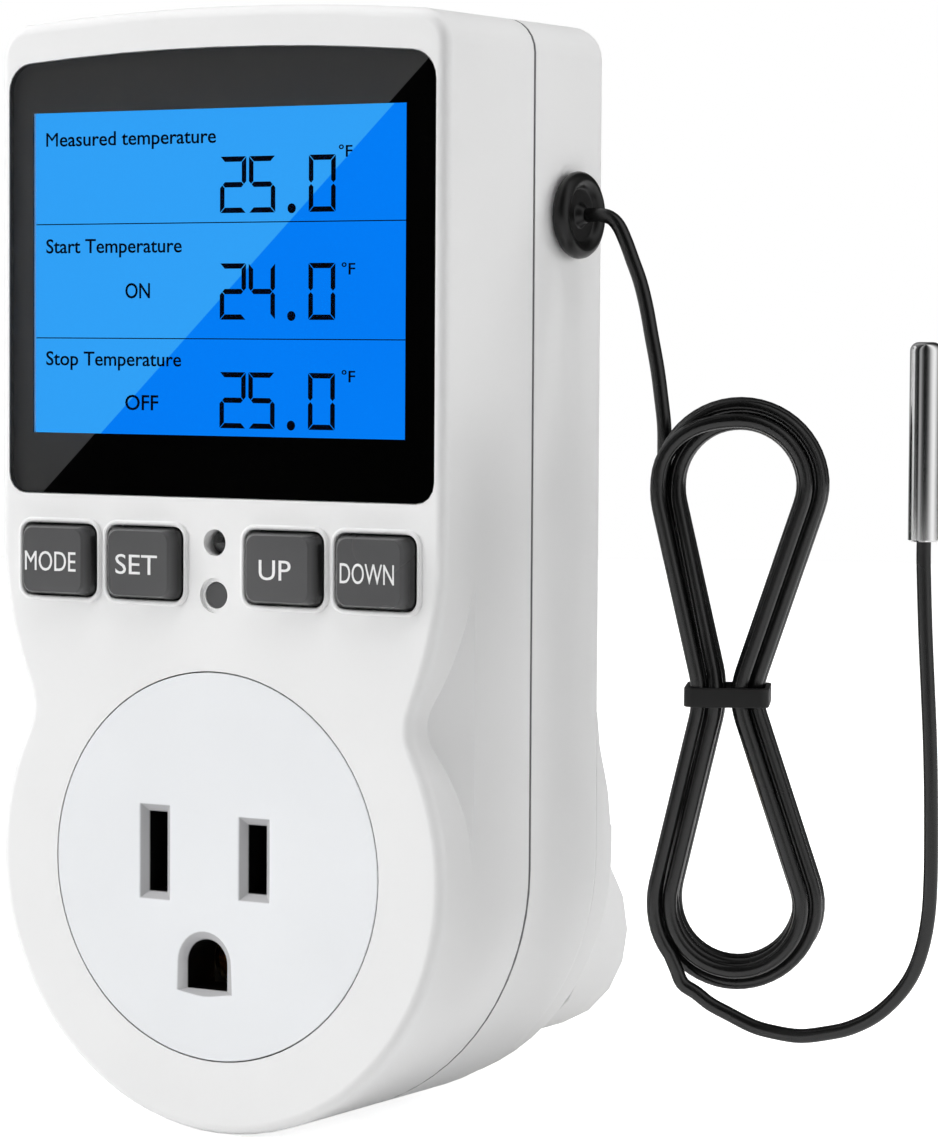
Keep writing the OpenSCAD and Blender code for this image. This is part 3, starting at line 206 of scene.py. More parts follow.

# %% [markdown]
# The free stretches were laid point by point over the photograph: one from the gland down to the
# hank, one from the hank round and up to the probe. A smooth curve runs through their points. Two
# more points on either side of the hank, a few cord widths away, keep the cord straight there.

# %% Free stretches and the whole route
OUTLET = (30.15, 24.8, 68.4)
LEAD = [OUTLET, (31.65, 24.8, 68.4), (33, 24.8, 68.1), (34, 24.8, 67.2), (34.8, 24.9, 65.6),
        (35.6, 25, 63.6), (36.4, 25.2, 61.4), (37.1, 25.3, 58.8), (37.8, 25.2, 55.8),
        (38.7, 24.9, 52.4), (39.4, 24.5, 49.4)]
TAIL = [(46.3, 20.5, -11.8), (47.7, 21, -12.9), (49.4, 21.6, -13.8), (52, 22.3, -15),
        (54.3, 22.8, -15.5), (57, 23.3, -15.7), (59.8, 23.8, -15.2), (62.2, 24.1, -14.5),
        (64.8, 24.4, -13.1), (67, 24.6, -11.1), (68.7, 24.8, -8.7), (69.8, 24.9, -5.8),
        (70.4, 25, -2.4), (70.6, 25, 1.4), (70.6, 25, 6), (70.5, 25, 11), (70.3, 25, 16),
        (70, 25, 21), (69.7, 25, 26), (69.5, 25, 30.5), (69.4, 25, 33.4), (69.4, 25, 35.6)]
BEFORE_HANK, AFTER_HANK = (3, 1), (1, 2.2)


def smooth_route(points, steps):
    """A Catmull-Rom curve through the points, with a few steps between two neighbours."""
    ends = [2 * points[0] - points[1], *points, 2 * points[-1] - points[-2]]
    made = []
    for a, b, c, d in zip(ends, ends[1:], ends[2:], ends[3:]):
        for i in range(steps):
            t = i / steps
            made.append(0.5 * (2 * b + (c - a) * t + (2 * a - 5 * b + 4 * c - d) * t ** 2
                               + (3 * b - a - 3 * c + d) * t ** 3))
    return made + [points[-1]]


first_step = hank_point(FIRST_RING + 1) - hank[0]
last_step = hank[-1] - hank_point(LAST_RING - 1)
into_hank, out_of_hank = first_step.normalized(), last_step.normalized()
lead = [Vector(p) for p in LEAD] + [hank[0] - away * CORD_D * into_hank for away in BEFORE_HANK]
tail = [hank[-1] + away * CORD_D * out_of_hank for away in AFTER_HANK] + [Vector(p) for p in TAIL]
fine_route = [place(*p) for p in smooth_route(lead, FINE) + hank + smooth_route(tail, FINE)]

# %% [markdown]
# Blender sweeps the cord itself: a curve of one open spline, with a round bevel as its section.

# %% The cord as one open curve
ROUND_STEPS = 4


def round_cord(name, points, diameter):
    curve = bpy.data.curves.new(name, "CURVE")
    curve.dimensions = "3D"
    curve.bevel_depth = diameter / 2 * MM
    curve.bevel_resolution = ROUND_STEPS
    curve.use_fill_caps = True
    spline = curve.splines.new("POLY")
    spline.points.add(len(points) - 1)
    for target, point in zip(spline.points, points):
        target.co = (*point, 1)
    spline.use_smooth = True
    made = bpy.data.objects.new(name, curve)
    bpy.context.scene.collection.objects.link(made)
    return made


probe_cord = round_cord("probe_cord", fine_route, CORD_D)
print("Made", probe_cord.name, "with", len(probe_cord.data.splines), "spline")

# %% [markdown]
# Moulded plastic is never one flat colour. Its mould leaves a fine even grain, its thickness
# gives it faint clouds of tone, and hands leave slightly shinier places. These effects repeat
# over many pieces, so each is a node group with named inputs. A group puts out only values that
# change over the surface, and every material keeps its own shader.

# %% Helpers for shader nodes
def new_group(name, inputs, outputs):
    group = bpy.data.node_groups.new(name, "ShaderNodeTree")
    for label, default in inputs.items():
        socket = group.interface.new_socket(label, in_out="INPUT", socket_type="NodeSocketFloat")
        socket.default_value = default
    for label in outputs:
        group.interface.new_socket(label, in_out="OUTPUT", socket_type="NodeSocketFloat")
    return group, group.nodes.new("NodeGroupInput"), group.nodes.new("NodeGroupOutput")


def add_noise(tree, vector, scale, detail):
    noise = tree.nodes.new("ShaderNodeTexNoise")
    noise.inputs["Detail"].default_value = detail
    tree.links.new(vector, noise.inputs["Vector"])
    tree.links.new(scale, noise.inputs["Scale"])
    return noise.outputs["Fac"]


def add_range(tree, value, low, high, to_low=0.0, to_high=1.0):
    spread = tree.nodes.new("ShaderNodeMapRange")
    limits = {"From Min": low, "From Max": high, "To Min": to_low, "To Max": to_high}
    for label, given in limits.items():
        spread.inputs[label].default_value = given
    tree.links.new(value, spread.inputs["Value"])
    return spread.outputs["Result"]


def add_math(tree, operation, first, second, clamp=False):
    """One step of arithmetic on two values, of which the second may be a plain number."""
    node = tree.nodes.new("ShaderNodeMath")
    node.operation, node.use_clamp = operation, clamp
    tree.links.new(first, node.inputs[0])
    if isinstance(second, (int, float)):
        node.inputs[1].default_value = second
    else:
        tree.links.new(second, node.inputs[1])
    return node.outputs["Value"]


# %% [markdown]
# Five groups follow. Mould grain and handling belong to every plastic, drawn lines to every
# metal. The depth band paints shade on what lies at one depth, such as a seam or the inside of a
# slot, where hardly any light comes. The painted reflection split is the window's reflection,
# painted in as a bright half whose edge crosses the display. Noise hardly ever leaves the range
# from 0.3 to 0.7, so that part of it is spread from 0 to 1.

# %% Node groups for moulded and drawn surfaces
NOISE_LOW, NOISE_HIGH = 0.3, 0.7
POLISH_LOW, POLISH_HIGH = 0.2, 0.8
FINE_DETAIL, CLOUD_DETAIL, PATCH_DETAIL = 3.0, 2.0, 1.0


def make_mould_grain():
    """Grain of the mould as a height, and the plastic's faint clouds as a tone."""
    group, given, result = new_group("mould_grain", {"Grain scale": 4000.0, "Cloud scale": 40.0},
                                     ["Height", "Cloud"])
    spot = group.nodes.new("ShaderNodeTexCoord").outputs["Object"]
    grain = add_noise(group, spot, given.outputs["Grain scale"], FINE_DETAIL)
    cloud = add_noise(group, spot, given.outputs["Cloud scale"], CLOUD_DETAIL)
    group.links.new(grain, result.inputs["Height"])
    group.links.new(add_range(group, cloud, NOISE_LOW, NOISE_HIGH), result.inputs["Cloud"])
    return group


def make_handling():
    """Places polished by hands, as a mask."""
    group, given, result = new_group("handling", {"Patch scale": 60.0}, ["Polish"])
    spot = group.nodes.new("ShaderNodeTexCoord").outputs["Object"]
    patch = add_noise(group, spot, given.outputs["Patch scale"], PATCH_DETAIL)
    group.links.new(add_range(group, patch, POLISH_LOW, POLISH_HIGH), result.inputs["Polish"])
    return group


def make_drawn_lines():
    """Fine lines along the height, as drawing and polishing leave them on metal."""
    group, given, result = new_group("drawn_lines", {"Line scale": 3000.0, "Length share": 0.02},
                                     ["Height", "Tone"])
    spot = group.nodes.new("ShaderNodeTexCoord").outputs["Object"]
    squeeze = group.nodes.new("ShaderNodeCombineXYZ")
    squeeze.inputs["X"].default_value = squeeze.inputs["Y"].default_value = 1
    group.links.new(given.outputs["Length share"], squeeze.inputs["Z"])
    stretched = group.nodes.new("ShaderNodeVectorMath")
    stretched.operation = "MULTIPLY"
    group.links.new(spot, stretched.inputs[0])
    group.links.new(squeeze.outputs["Vector"], stretched.inputs[1])
    lines = add_noise(group, stretched.outputs["Vector"], given.outputs["Line scale"], FINE_DETAIL)
    group.links.new(lines, result.inputs["Height"])
    group.links.new(add_range(group, lines, NOISE_LOW, NOISE_HIGH), result.inputs["Tone"])
    return group


def make_depth_band():
    """1 between two depths behind the front, with soft ends: for seams, gaps and deep slots."""
    group, given, result = new_group("depth_band", {"Start": 0.0, "End": 1.0, "Soft": 0.0001},
                                     ["Inside"])
    spot = group.nodes.new("ShaderNodeTexCoord").outputs["Object"]
    parts = group.nodes.new("ShaderNodeSeparateXYZ")
    group.links.new(spot, parts.inputs["Vector"])
    depth, soft = parts.outputs["Y"], given.outputs["Soft"]
    ends = []
    for further, nearer in ((depth, given.outputs["Start"]), (given.outputs["End"], depth)):
        past = add_math(group, "SUBTRACT", further, nearer)
        ends.append(add_math(group, "DIVIDE", past, soft, clamp=True))
    group.links.new(add_math(group, "MULTIPLY", *ends), result.inputs["Inside"])
    return group


# Ends of the slanted line above which the window's reflection is painted in, and its softness.
SPLIT_HIGH, SPLIT_LOW, SPLIT_SOFT = (25.2, 83.1), (-23.2, 38.5), 0.05


def make_painted_reflection_split():
    """1 above a slanted line across the display, where a reflection is painted in, 0 below it."""
    group, _, result = new_group("painted_reflection_split", {}, ["Above"])
    spot = group.nodes.new("ShaderNodeTexCoord").outputs["Object"]
    (x1, z1), (x2, z2) = SPLIT_HIGH, SPLIT_LOW
    upward = Vector((z2 - z1, 0, x1 - x2)).normalized()
    across = group.nodes.new("ShaderNodeVectorMath")
    across.operation = "DOT_PRODUCT"
    across.inputs[1].default_value = upward
    group.links.new(spot, across.inputs[0])
    level, soft = upward.dot(place(x1, 0, z1)), SPLIT_SOFT * MM
    group.links.new(add_range(group, across.outputs["Value"], level - soft, level + soft),
                    result.inputs["Above"])
    return group


mould_grain, handling, drawn_lines = make_mould_grain(), make_handling(), make_drawn_lines()
depth_band, painted_reflection_split = make_depth_band(), make_painted_reflection_split()
print("Shared groups:", ", ".join(bpy.data.node_groups.keys()))

# %% [markdown]
# One recipe serves every plastic and rubber piece. Two near tones of the same colour are mixed by
# the clouds, the roughness falls where hands have polished it, and the grain lifts the surface by
# a few thousandths of a millimetre. Only the numbers differ: the housing is a warm satin white,
# the socket face a cooler and smoother white, the keys a dark translucent grey.

# %% Recipe for plastic and rubber
GRAIN_HIGH = 0.01


def shade(name, **plain):
    """A new material whose shader has these plain values: an underscore stands for a space."""
    material = bpy.data.materials.new(name)
    material.use_nodes = True
    shader = material.node_tree.nodes["Principled BSDF"]
    for label, value in plain.items():
        shader.inputs[label.replace("_", " ")].default_value = value
    return material, material.node_tree, shader


def use_group(tree, group, **given):
    node = tree.nodes.new("ShaderNodeGroup")
    node.node_tree = group
    for label, value in given.items():
        node.inputs[label.replace("_", " ")].default_value = value
    return node


def mix_tones(tree, mask, below, above):
    """The tone above shows where the mask is 1. Below lies a tone, or what another mix made."""
    mix = tree.nodes.new("ShaderNodeMix")
    mix.data_type = "RGBA"
    mix.inputs["B"].default_value = (*above, 1)
    if isinstance(below, tuple):
        mix.inputs["A"].default_value = (*below, 1)
    else:
        tree.links.new(below, mix.inputs["A"])
    tree.links.new(mask, mix.inputs["Factor"])
    return mix.outputs["Result"]


def raise_surface(tree, shader, height, strength, distance):
    bump = tree.nodes.new("ShaderNodeBump")
    bump.inputs["Strength"].default_value = strength
    bump.inputs["Distance"].default_value = distance * MM
    tree.links.new(height, bump.inputs["Height"])
    tree.links.new(bump.outputs["Normal"], shader.inputs["Normal"])


def moulded(name, dark, light, rough, grain=4000.0, lift=0.15, polish=0.08, bands=(), **plain):
    """Bands are shadows at a depth: where they start and end, how soft they are, and their tone."""
    material, tree, shader = shade(name, **plain)
    surface = use_group(tree, mould_grain, Grain_scale=grain)
    hands = use_group(tree, handling)
    tone = mix_tones(tree, surface.outputs["Cloud"], dark, light)
    for start, end, soft, band_tone in bands:
        band = use_group(tree, depth_band, Start=place(0, start, 0).y, End=place(0, end, 0).y,
                         Soft=soft * MM)
        tone = mix_tones(tree, band.outputs["Inside"], tone, band_tone)
    tree.links.new(tone, shader.inputs["Base Color"])
    tree.links.new(add_range(tree, hands.outputs["Polish"], 0, 1, rough, rough - polish),
                   shader.inputs["Roughness"])
    raise_surface(tree, shader, surface.outputs["Height"], lift, GRAIN_HIGH)
    return material


# %% [markdown]
# Drawn and turned metal has fine lines along its length. They catch the light one by one, so they
# change the tone, the roughness and the surface together. A metal's colour is the colour of its
# reflection.

# %% Recipe for metal
LINE_HIGH, LINE_ROUGH = 0.005, 0.05


def metal(name, dark, light, rough, lines=3000.0, lift=0.1):
    material, tree, shader = shade(name, Metallic=1.0)
    drawn = use_group(tree, drawn_lines, Line_scale=lines)
    tree.links.new(mix_tones(tree, drawn.outputs["Tone"], dark, light), shader.inputs["Base Color"])
    tree.links.new(add_range(tree, drawn.outputs["Tone"], 0, 1, rough + LINE_ROUGH, rough),
                   shader.inputs["Roughness"])
    raise_surface(tree, shader, drawn.outputs["Height"], lift, LINE_HIGH)
    return material


# %% [markdown]
# Every material slot of the part gets its finish here. Rubber and PVC are nearly black and
# reflect little. The housing is ABS with a satin mould, and dust and painted shade darken its
# seam. The mouths of the outlet get painted shade by their depth, and behind them the slots are
# painted black as shade. The keys' flanks and the reset cap's rim are painted black as shade
# too. Each row gives two tones, the roughness, and whatever differs from the usual grain and gloss.

# %% Finishes of the record's slots
# Tones of painted shade: in the seam, where dust gathers too, in the outlet's mouths, and where no
# light reaches.
SEAM_DUST_AND_SHADE, MOUTH_SHADE, NO_LIGHT = (0.34, 0.34, 0.34), (0.45, 0.45, 0.46), (0.003, 0.003, 0.003)
DEEP = 99
finishes = {
    # The seam's band is dust and painted shade.
    "housing_white": moulded("housing_white", (0.82, 0.82, 0.82), (0.85, 0.85, 0.85), 0.42,
                             bands=((16.88, 17.42, 0.08, SEAM_DUST_AND_SHADE),)),
    # Painted shade: the outlet's mouths turn grey with depth, and the slots behind them black.
    "socket_white": moulded("socket_white", (0.80, 0.815, 0.835), (0.83, 0.845, 0.865), 0.36,
                            bands=((0.03, DEEP, 0.1, MOUTH_SHADE), (0.62, DEEP, 0.12, NO_LIGHT)),
                            lift=0.06),
    "light_guide": moulded("light_guide", (0.75, 0.8, 0.85), (0.82, 0.86, 0.9), 0.2),
    "holder_white": moulded("holder_white", (0.78, 0.78, 0.76), (0.82, 0.82, 0.8), 0.5),
    "strip_rubber": moulded("strip_rubber", (0.03, 0.03, 0.035), (0.06, 0.06, 0.065), 0.8),
    "board_green": moulded("board_green", (0.01, 0.09, 0.03), (0.02, 0.14, 0.05), 0.4),
    "chip_black": moulded("chip_black", (0.012, 0.012, 0.014), (0.02, 0.02, 0.022), 0.6),
    # Painted shade: each key's flanks turn black towards the gap round the key.
    "key_grey": moulded("key_grey", (0.06, 0.06, 0.062), (0.08, 0.08, 0.082), 0.3, lift=0.05,
                        bands=((-1.25, DEEP, 0.7, NO_LIGHT),)),
    # Painted shade: the reset cap turns black behind its face, in the gap round it.
    "reset_grey": moulded("reset_grey", (0.05, 0.05, 0.052), (0.07, 0.07, 0.072), 0.35, lift=0.05,
                          bands=((0.43, DEEP, 0.16, NO_LIGHT),)),
    "plunger_red": moulded("plunger_red", (0.4, 0.06, 0.03), (0.48, 0.09, 0.05), 0.5),
    "board_tan": moulded("board_tan", (0.42, 0.24, 0.09), (0.5, 0.3, 0.12), 0.6),
    "relay_blue": moulded("relay_blue", (0.02, 0.12, 0.4), (0.03, 0.16, 0.48), 0.35),
    "film_yellow": moulded("film_yellow", (0.55, 0.33, 0.02), (0.65, 0.4, 0.03), 0.4),
    "can_dark": moulded("can_dark", (0.012, 0.016, 0.028), (0.02, 0.026, 0.04), 0.35),
    "fuse_dark": moulded("fuse_dark", (0.03, 0.03, 0.03), (0.045, 0.045, 0.045), 0.5),
    "carrier_cream": moulded("carrier_cream", (0.3, 0.29, 0.26), (0.38, 0.37, 0.33), 0.55),
    "lead_black": moulded("lead_black", (0.012, 0.012, 0.014), (0.02, 0.02, 0.022), 0.45),
    "gland_rubber": moulded("gland_rubber", (0.003, 0.003, 0.003), (0.006, 0.006, 0.006), 0.34,
                            lift=0.1, Specular_IOR_Level=0.38),
    "cord_black": moulded("cord_black", (0.003, 0.003, 0.003), (0.007, 0.007, 0.007), 0.3,
                          lift=0.1, Specular_IOR_Level=0.6),
    "tie_black": moulded("tie_black", (0.005, 0.005, 0.005), (0.01, 0.01, 0.01), 0.5, lift=0.3,
                         Specular_IOR_Level=0.35),
    "potting_black": moulded("potting_black", (0.01, 0.01, 0.01), (0.02, 0.02, 0.02), 0.4),
    "bead_brown": moulded("bead_brown", (0.16, 0.06, 0.02), (0.22, 0.09, 0.03), 0.4),
    "link_tin": metal("link_tin", (0.6, 0.6, 0.6), (0.72, 0.72, 0.72), 0.3),
    "brass": metal("brass", (0.62, 0.42, 0.17), (0.78, 0.56, 0.26), 0.22, lines=1500.0),
    "screw_steel": metal("screw_steel", (0.45, 0.45, 0.46), (0.6, 0.6, 0.61), 0.35, lines=1200.0),
    "probe_steel": metal("probe_steel", (0.84, 0.84, 0.84), (0.92, 0.92, 0.92), 0.1, lift=0.05),
}
print(len(finishes), "finishes from two recipes")

# %% [markdown]
# Four finishes have their own recipe. The window is clear acrylic, so it keeps plain numbers. The
# border is black print behind it. The display glows: its colour is that of the light guide behind
# the glass, slightly uneven. Over the slanted line both are lighter, as the photograph shows
# them: a painted reflection of the window. The indicator is a clear bead with a dark chip inside,
# so it is a glass with a smoky tint.

# %% Window, border, display and indicator
def make_window():
    return shade("window_clear", Base_Color=(1, 1, 1, 1), Roughness=0.0, IOR=1.49,
                 Specular_IOR_Level=0.3, Transmission_Weight=1.0)[0]


def make_border():
    """Black print, with a painted reflection in dark grey over the slanted line."""
    material, tree, shader = shade("border_black", Roughness=0.5, Specular_IOR_Level=0.0)
    surface = use_group(tree, mould_grain, Cloud_scale=30.0)
    tone = mix_tones(tree, surface.outputs["Cloud"], (0.0, 0.0, 0.0), (0.001, 0.001, 0.001))
    painted_reflection = use_group(tree, painted_reflection_split)
    tree.links.new(mix_tones(tree, painted_reflection.outputs["Above"], tone, (0.08, 0.08, 0.08)),
                   shader.inputs["Base Color"])
    return material


def make_display():
    """Blue glow in two tones, which meet on a slanted line as in the photograph: the lighter is a
    painted reflection.
    """
    material, tree, shader = shade("display_blue", Base_Color=(0.0, 0.004, 0.01, 1),
                                   Roughness=0.3, Specular_IOR_Level=0.0, Emission_Strength=1.0)
    surface = use_group(tree, mould_grain, Cloud_scale=25.0)
    low = mix_tones(tree, surface.outputs["Cloud"], (0.0, 0.208, 0.97), (0.0, 0.222, 1.0))
    painted_reflection = use_group(tree, painted_reflection_split)
    tree.links.new(mix_tones(tree, painted_reflection.outputs["Above"], low, (0.032, 0.38, 1.0)),
                   shader.inputs["Emission Color"])
    return material


def make_indicator():
    """Clear plastic, smoky and a little dull in places."""
    material, tree, shader = shade("led_clear", IOR=1.5, Transmission_Weight=0.8)
    surface = use_group(tree, mould_grain, Grain_scale=900.0, Cloud_scale=700.0)
    tone = mix_tones(tree, surface.outputs["Cloud"], (0.03, 0.03, 0.03), (0.2, 0.2, 0.2))
    tree.links.new(tone, shader.inputs["Base Color"])
    tree.links.new(add_range(tree, surface.outputs["Cloud"], 0, 1, 0.04, 0.12),
                   shader.inputs["Roughness"])
    return material


finishes["window_clear"] = make_window()
finishes["border_black"] = make_border()
finishes["display_blue"] = make_display()
finishes["led_clear"] = make_indicator()
print(len(finishes), "finishes in all")

# %% [markdown]
# The part's record says which slot each node has, so one loop dresses them all, also the pieces
# inside, which show only when the housing is hidden. The cord made above gets its rubber here
# too.

# %% Every CAD node takes its slot's finish
slot_of = {row["node"]: row["material_slot"] for row in frame["record"]["subparts"]}
for node, cad_object in frame["nodes"].items():
    cad_object.data.materials.clear()
    cad_object.data.materials.append(finishes[slot_of[node]])
probe_cord.data.materials.append(finishes["cord_black"])
print(len(slot_of), "nodes dressed")

# %% [markdown]
# A CAD mesh arrives as loose flat triangles, so its round corners look cut. The pieces that show
# get a smooth copy: the triangles are joined, flat areas are made one face, sharp corners get the
# small round that every moulding has, and the shading runs smoothly over the fillets. The copy
# stands for the CAD node, which stays in the simulation. The indicator and the probe's tube are
# round in the CAD model already, so their edges stay as they are.

# %% Smooth copies of the moulded pieces
JOIN_GAP = 0.002
FLAT_ANGLE, SMOOTH_ANGLE, EDGE_ANGLE = 0.3, 35.0, 38.0
EDGE_STEPS = 2


def joined_mesh(node):
    mesh = bmesh.new()
    mesh.from_mesh(frame["nodes"][node].data)
    bmesh.ops.remove_doubles(mesh, verts=mesh.verts, dist=JOIN_GAP * MM)
    bmesh.ops.dissolve_limit(mesh, angle_limit=math.radians(FLAT_ANGLE), verts=mesh.verts,
                             edges=mesh.edges, use_dissolve_boundaries=False)
    return mesh


def finish_mesh(mesh, name, finish):
    data = bpy.data.meshes.new(name)
    mesh.to_mesh(data)
    mesh.free()
    data.shade_smooth()
    data.set_sharp_from_angle(angle=math.radians(SMOOTH_ANGLE))
    data.materials.append(finishes[finish])
    made = bpy.data.objects.new(name, data)
    bpy.context.scene.collection.objects.link(made)
    return made


def round_edges(made, width, flat_faces):
    """Small rounds on the sharp edges. Pieces with flat faces keep them flat in the shading too."""
    bevel = made.modifiers.new("rounds", "BEVEL")
    bevel.width = width * MM
    bevel.segments = EDGE_STEPS
    bevel.limit_method = "ANGLE"
    bevel.angle_limit = math.radians(EDGE_ANGLE)
    bevel.miter_outer = "MITER_ARC"
    if flat_faces:
        bevel.harden_normals = True
    else:
        weighted = made.modifiers.new("even_shading", "WEIGHTED_NORMAL")
        weighted.keep_sharp = False


def smooth_copy(node, width, body="housing", flat_faces=False):
    made = finish_mesh(joined_mesh(node), node + "_moulded", slot_of[node])
    if width:
        round_edges(made, width, flat_faces)
    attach(made, body)
    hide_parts(node)


ROUNDS = {"front_shell": 0.12, "rear_shell": 0.12, "plug_base": 0.15, "socket_face": 0.08,
          "cord_gland": 0.1, "hank_tie": 0.12, "line_blade": 0.1, "neutral_blade": 0.1,
          "ground_pin": 0.1}
KEYS = ("mode", "set", "up", "down", "reset")
KEY_ROUND = 0.1
ROUND_PIECES = ("indicator_led", "probe_tube")
for node, width in ROUNDS.items():
    smooth_copy(node, width)
for key in KEYS:
    smooth_copy(key + "_button", KEY_ROUND, body=key + "_key", flat_faces=True)
for node in ROUND_PIECES:
    smooth_copy(node, 0)
print(len(ROUNDS) + len(KEYS) + len(ROUND_PIECES), "smooth copies")

# %% [markdown]
# The window is one clear plate with a black border printed on its back. Its copy reaches a
# hundredth of a millimetre into the border, because two faces in one place would show as noise,
# and because light inside a printed plate meets the ink with no air between.

# %% Window plate
INTO_INK, NEAR_REAR = 0.01, 0.1


def make_window_plate():
    mesh = joined_mesh("display_window")
    rear = max(v.co.y for v in mesh.verts)
    for vertex in mesh.verts:
        if vertex.co.y > rear - NEAR_REAR * MM:
            vertex.co.y += INTO_INK * MM
    made = finish_mesh(mesh, "window_plate", "window_clear")
    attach(made, "housing")
    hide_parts("display_window")
    print("Window plate:", len(made.data.polygons), "faces")


make_window_plate()

# %% [markdown]
# The display shows three readings. Its segments are thin dark plates on the glass: every digit is
# made of up to seven mitred bars, so one function draws any of them. The words are Blender's own
# plain letters, made a mesh and fitted between two places, and say only what each reading is.

# %% Thin printed shapes
LCD_DEPTH, INK_T = 2.2, 0.03
ink = moulded("display_ink", (0.0, 0.002, 0.012), (0.0, 0.004, 0.02), 0.4, Specular_IOR_Level=0.0)


def printed(name, outlines):
    """Closed flat outlines, given in millimetres, as thin plates of ink on the display."""
    mesh = bmesh.new()
    for outline in outlines:
        front = [mesh.verts.new(place(x, LCD_DEPTH - INK_T, z)) for x, z in outline]
        back = [mesh.verts.new(place(x, LCD_DEPTH, z)) for x, z in outline]
        mesh.faces.new(front)
        mesh.faces.new(back[::-1])
        for i in range(len(front)):
            j = (i + 1) % len(front)
            mesh.faces.new((front[j], front[i], back[i], back[j]))
    bmesh.ops.recalc_face_normals(mesh, faces=mesh.faces)
    data = bpy.data.meshes.new(name)
    mesh.to_mesh(data)
    mesh.free()
    data.materials.append(ink)
    made = bpy.data.objects.new(name, data)
    bpy.context.scene.collection.objects.link(made)
    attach(made, "housing")
    print(name + ":", len(outlines), "shapes")

# %% [markdown]
# A digit on such a display is always made of the same seven bars, named a to g clockwise from the
# top with g in the middle. Their ends are mitred, and a narrow slit of light stays between two
# neighbours.

# %% Digits of seven segments
DIGIT_W, DIGIT_H, BAR, SLIT = 3.3, 5.85, 0.55, 0.07
SEGMENTS = {"0": "abcdef", "2": "abged", "4": "fgbc", "5": "afgcd"}


def segment(which, x, z):
    """Outline of one bar of the digit whose lower left corner is at x, z."""
    right, top, middle = x + DIGIT_W, z + DIGIT_H, z + DIGIT_H / 2
    half = BAR / 2
    inner_left, inner_right = x + BAR + SLIT, right - BAR - SLIT
    flat = {"a": (top, -1), "d": (z, 1)}
    if which in flat:
        edge, inward = flat[which]
        return [(x + SLIT, edge), (right - SLIT, edge), (inner_right, edge + inward * BAR),
                (inner_left, edge + inward * BAR)]
    if which == "g":
        return [(x + half + SLIT, middle), (inner_left, middle + half),
                (inner_right, middle + half), (right - half - SLIT, middle),
                (inner_right, middle - half), (inner_left, middle - half)]
    edge, inward = (x, 1) if which in "fe" else (right, -1)
    end, outer = (top, 1) if which in "fb" else (z, -1)
    near = middle + outer * SLIT
    return [(edge, end - outer * SLIT), (edge + inward * BAR, end - outer * (BAR + SLIT)),
            (edge + inward * BAR, near + outer * half), (edge + inward * half, near),
            (edge, near + outer * half)]


def dot(low):
    """Outline of the point in a reading that stands at this height: a ring of twelve corners."""
    angles = [corner * math.pi / 6 for corner in range(12)]
    return [(DOT_X + DOT_R * math.cos(a), low + DOT_UP + DOT_R * math.sin(a)) for a in angles]


READINGS = (("25.0", 68.27), ("24.0", 57.2), ("25.0", 45.9))
DIGIT_X = (-0.6, 3.05, 10.52)
DOT_X, DOT_R, DOT_UP = 8.4, 0.52, 0.4
bars = []
for reading, low in READINGS:
    for digit, x in zip(reading.replace(".", ""), DIGIT_X):
        bars += [segment(which, x, low) for which in SEGMENTS[digit]]
    bars.append(dot(low))
printed("display_digits", bars)

# %% [markdown]
# Two thin lines part the display into three rows, as in the photograph.

# %% Lines between the readings
LINE_LEFT, LINE_RIGHT, LINE_T = -24.6, 23.3, 0.11
LINE_HEIGHTS = (67.3, 55.2)
lines = [[(LINE_LEFT, z - LINE_T / 2), (LINE_RIGHT, z - LINE_T / 2), (LINE_RIGHT, z + LINE_T / 2),
          (LINE_LEFT, z + LINE_T / 2)] for z in LINE_HEIGHTS]
printed("display_lines", lines)

# %% [markdown]
# Letters start as a text curve, the only object in Blender that knows glyphs. The curve is
# evaluated to a mesh at once, then stretched to the width and height that the photograph shows.
# Display letters are made a little heavier by the curve's offset. A capital M can't take it, so
# it is set on its own.

# %% Words on the display and the keys
CURVE_STEPS, LETTER_T, LETTER_GAP = 4, 0.05, 0.001


def letters(text, heavier=0.0):
    """A word as a flat mesh, closed in front and behind, in the letter's own units."""
    curve = bpy.data.curves.new("word", "FONT")
    curve.body = text
    curve.resolution_u = CURVE_STEPS
    curve.extrude = LETTER_T
    curve.offset = heavier
    text_object = bpy.data.objects.new("word", curve)
    bpy.context.scene.collection.objects.link(text_object)
    shaped = text_object.evaluated_get(bpy.context.evaluated_depsgraph_get())
    data = bpy.data.meshes.new_from_object(shaped)
    bpy.data.objects.remove(text_object)
    return data


def span(points):
    return min(points), max(points)


CAP_LOW, CAP_HIGH = span([v.co.y for v in letters("H").vertices])


def word(name, text, left, right, base, cap, depth, finish, body="housing", heavier=0.0):
    """A word between two sides, standing on a base line, its capitals as high as cap."""
    data = letters(text, heavier)
    low, high = span([v.co.x for v in data.vertices])
    for vertex in data.vertices:
        x = left + (vertex.co.x - low) / (high - low) * (right - left)
        z = base + (vertex.co.y - CAP_LOW) / (CAP_HIGH - CAP_LOW) * cap
        vertex.co = place(x, depth - (INK_T if vertex.co.z > 0 else 0), z)
    mesh = bmesh.new()
    mesh.from_mesh(data)
    bmesh.ops.remove_doubles(mesh, verts=mesh.verts, dist=LETTER_GAP * MM)
    bmesh.ops.recalc_face_normals(mesh, faces=mesh.faces)
    mesh.to_mesh(data)
    mesh.free()
    data.materials.clear()
    data.materials.append(finish)
    made = bpy.data.objects.new(name, data)
    bpy.context.scene.collection.objects.link(made)
    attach(made, body)


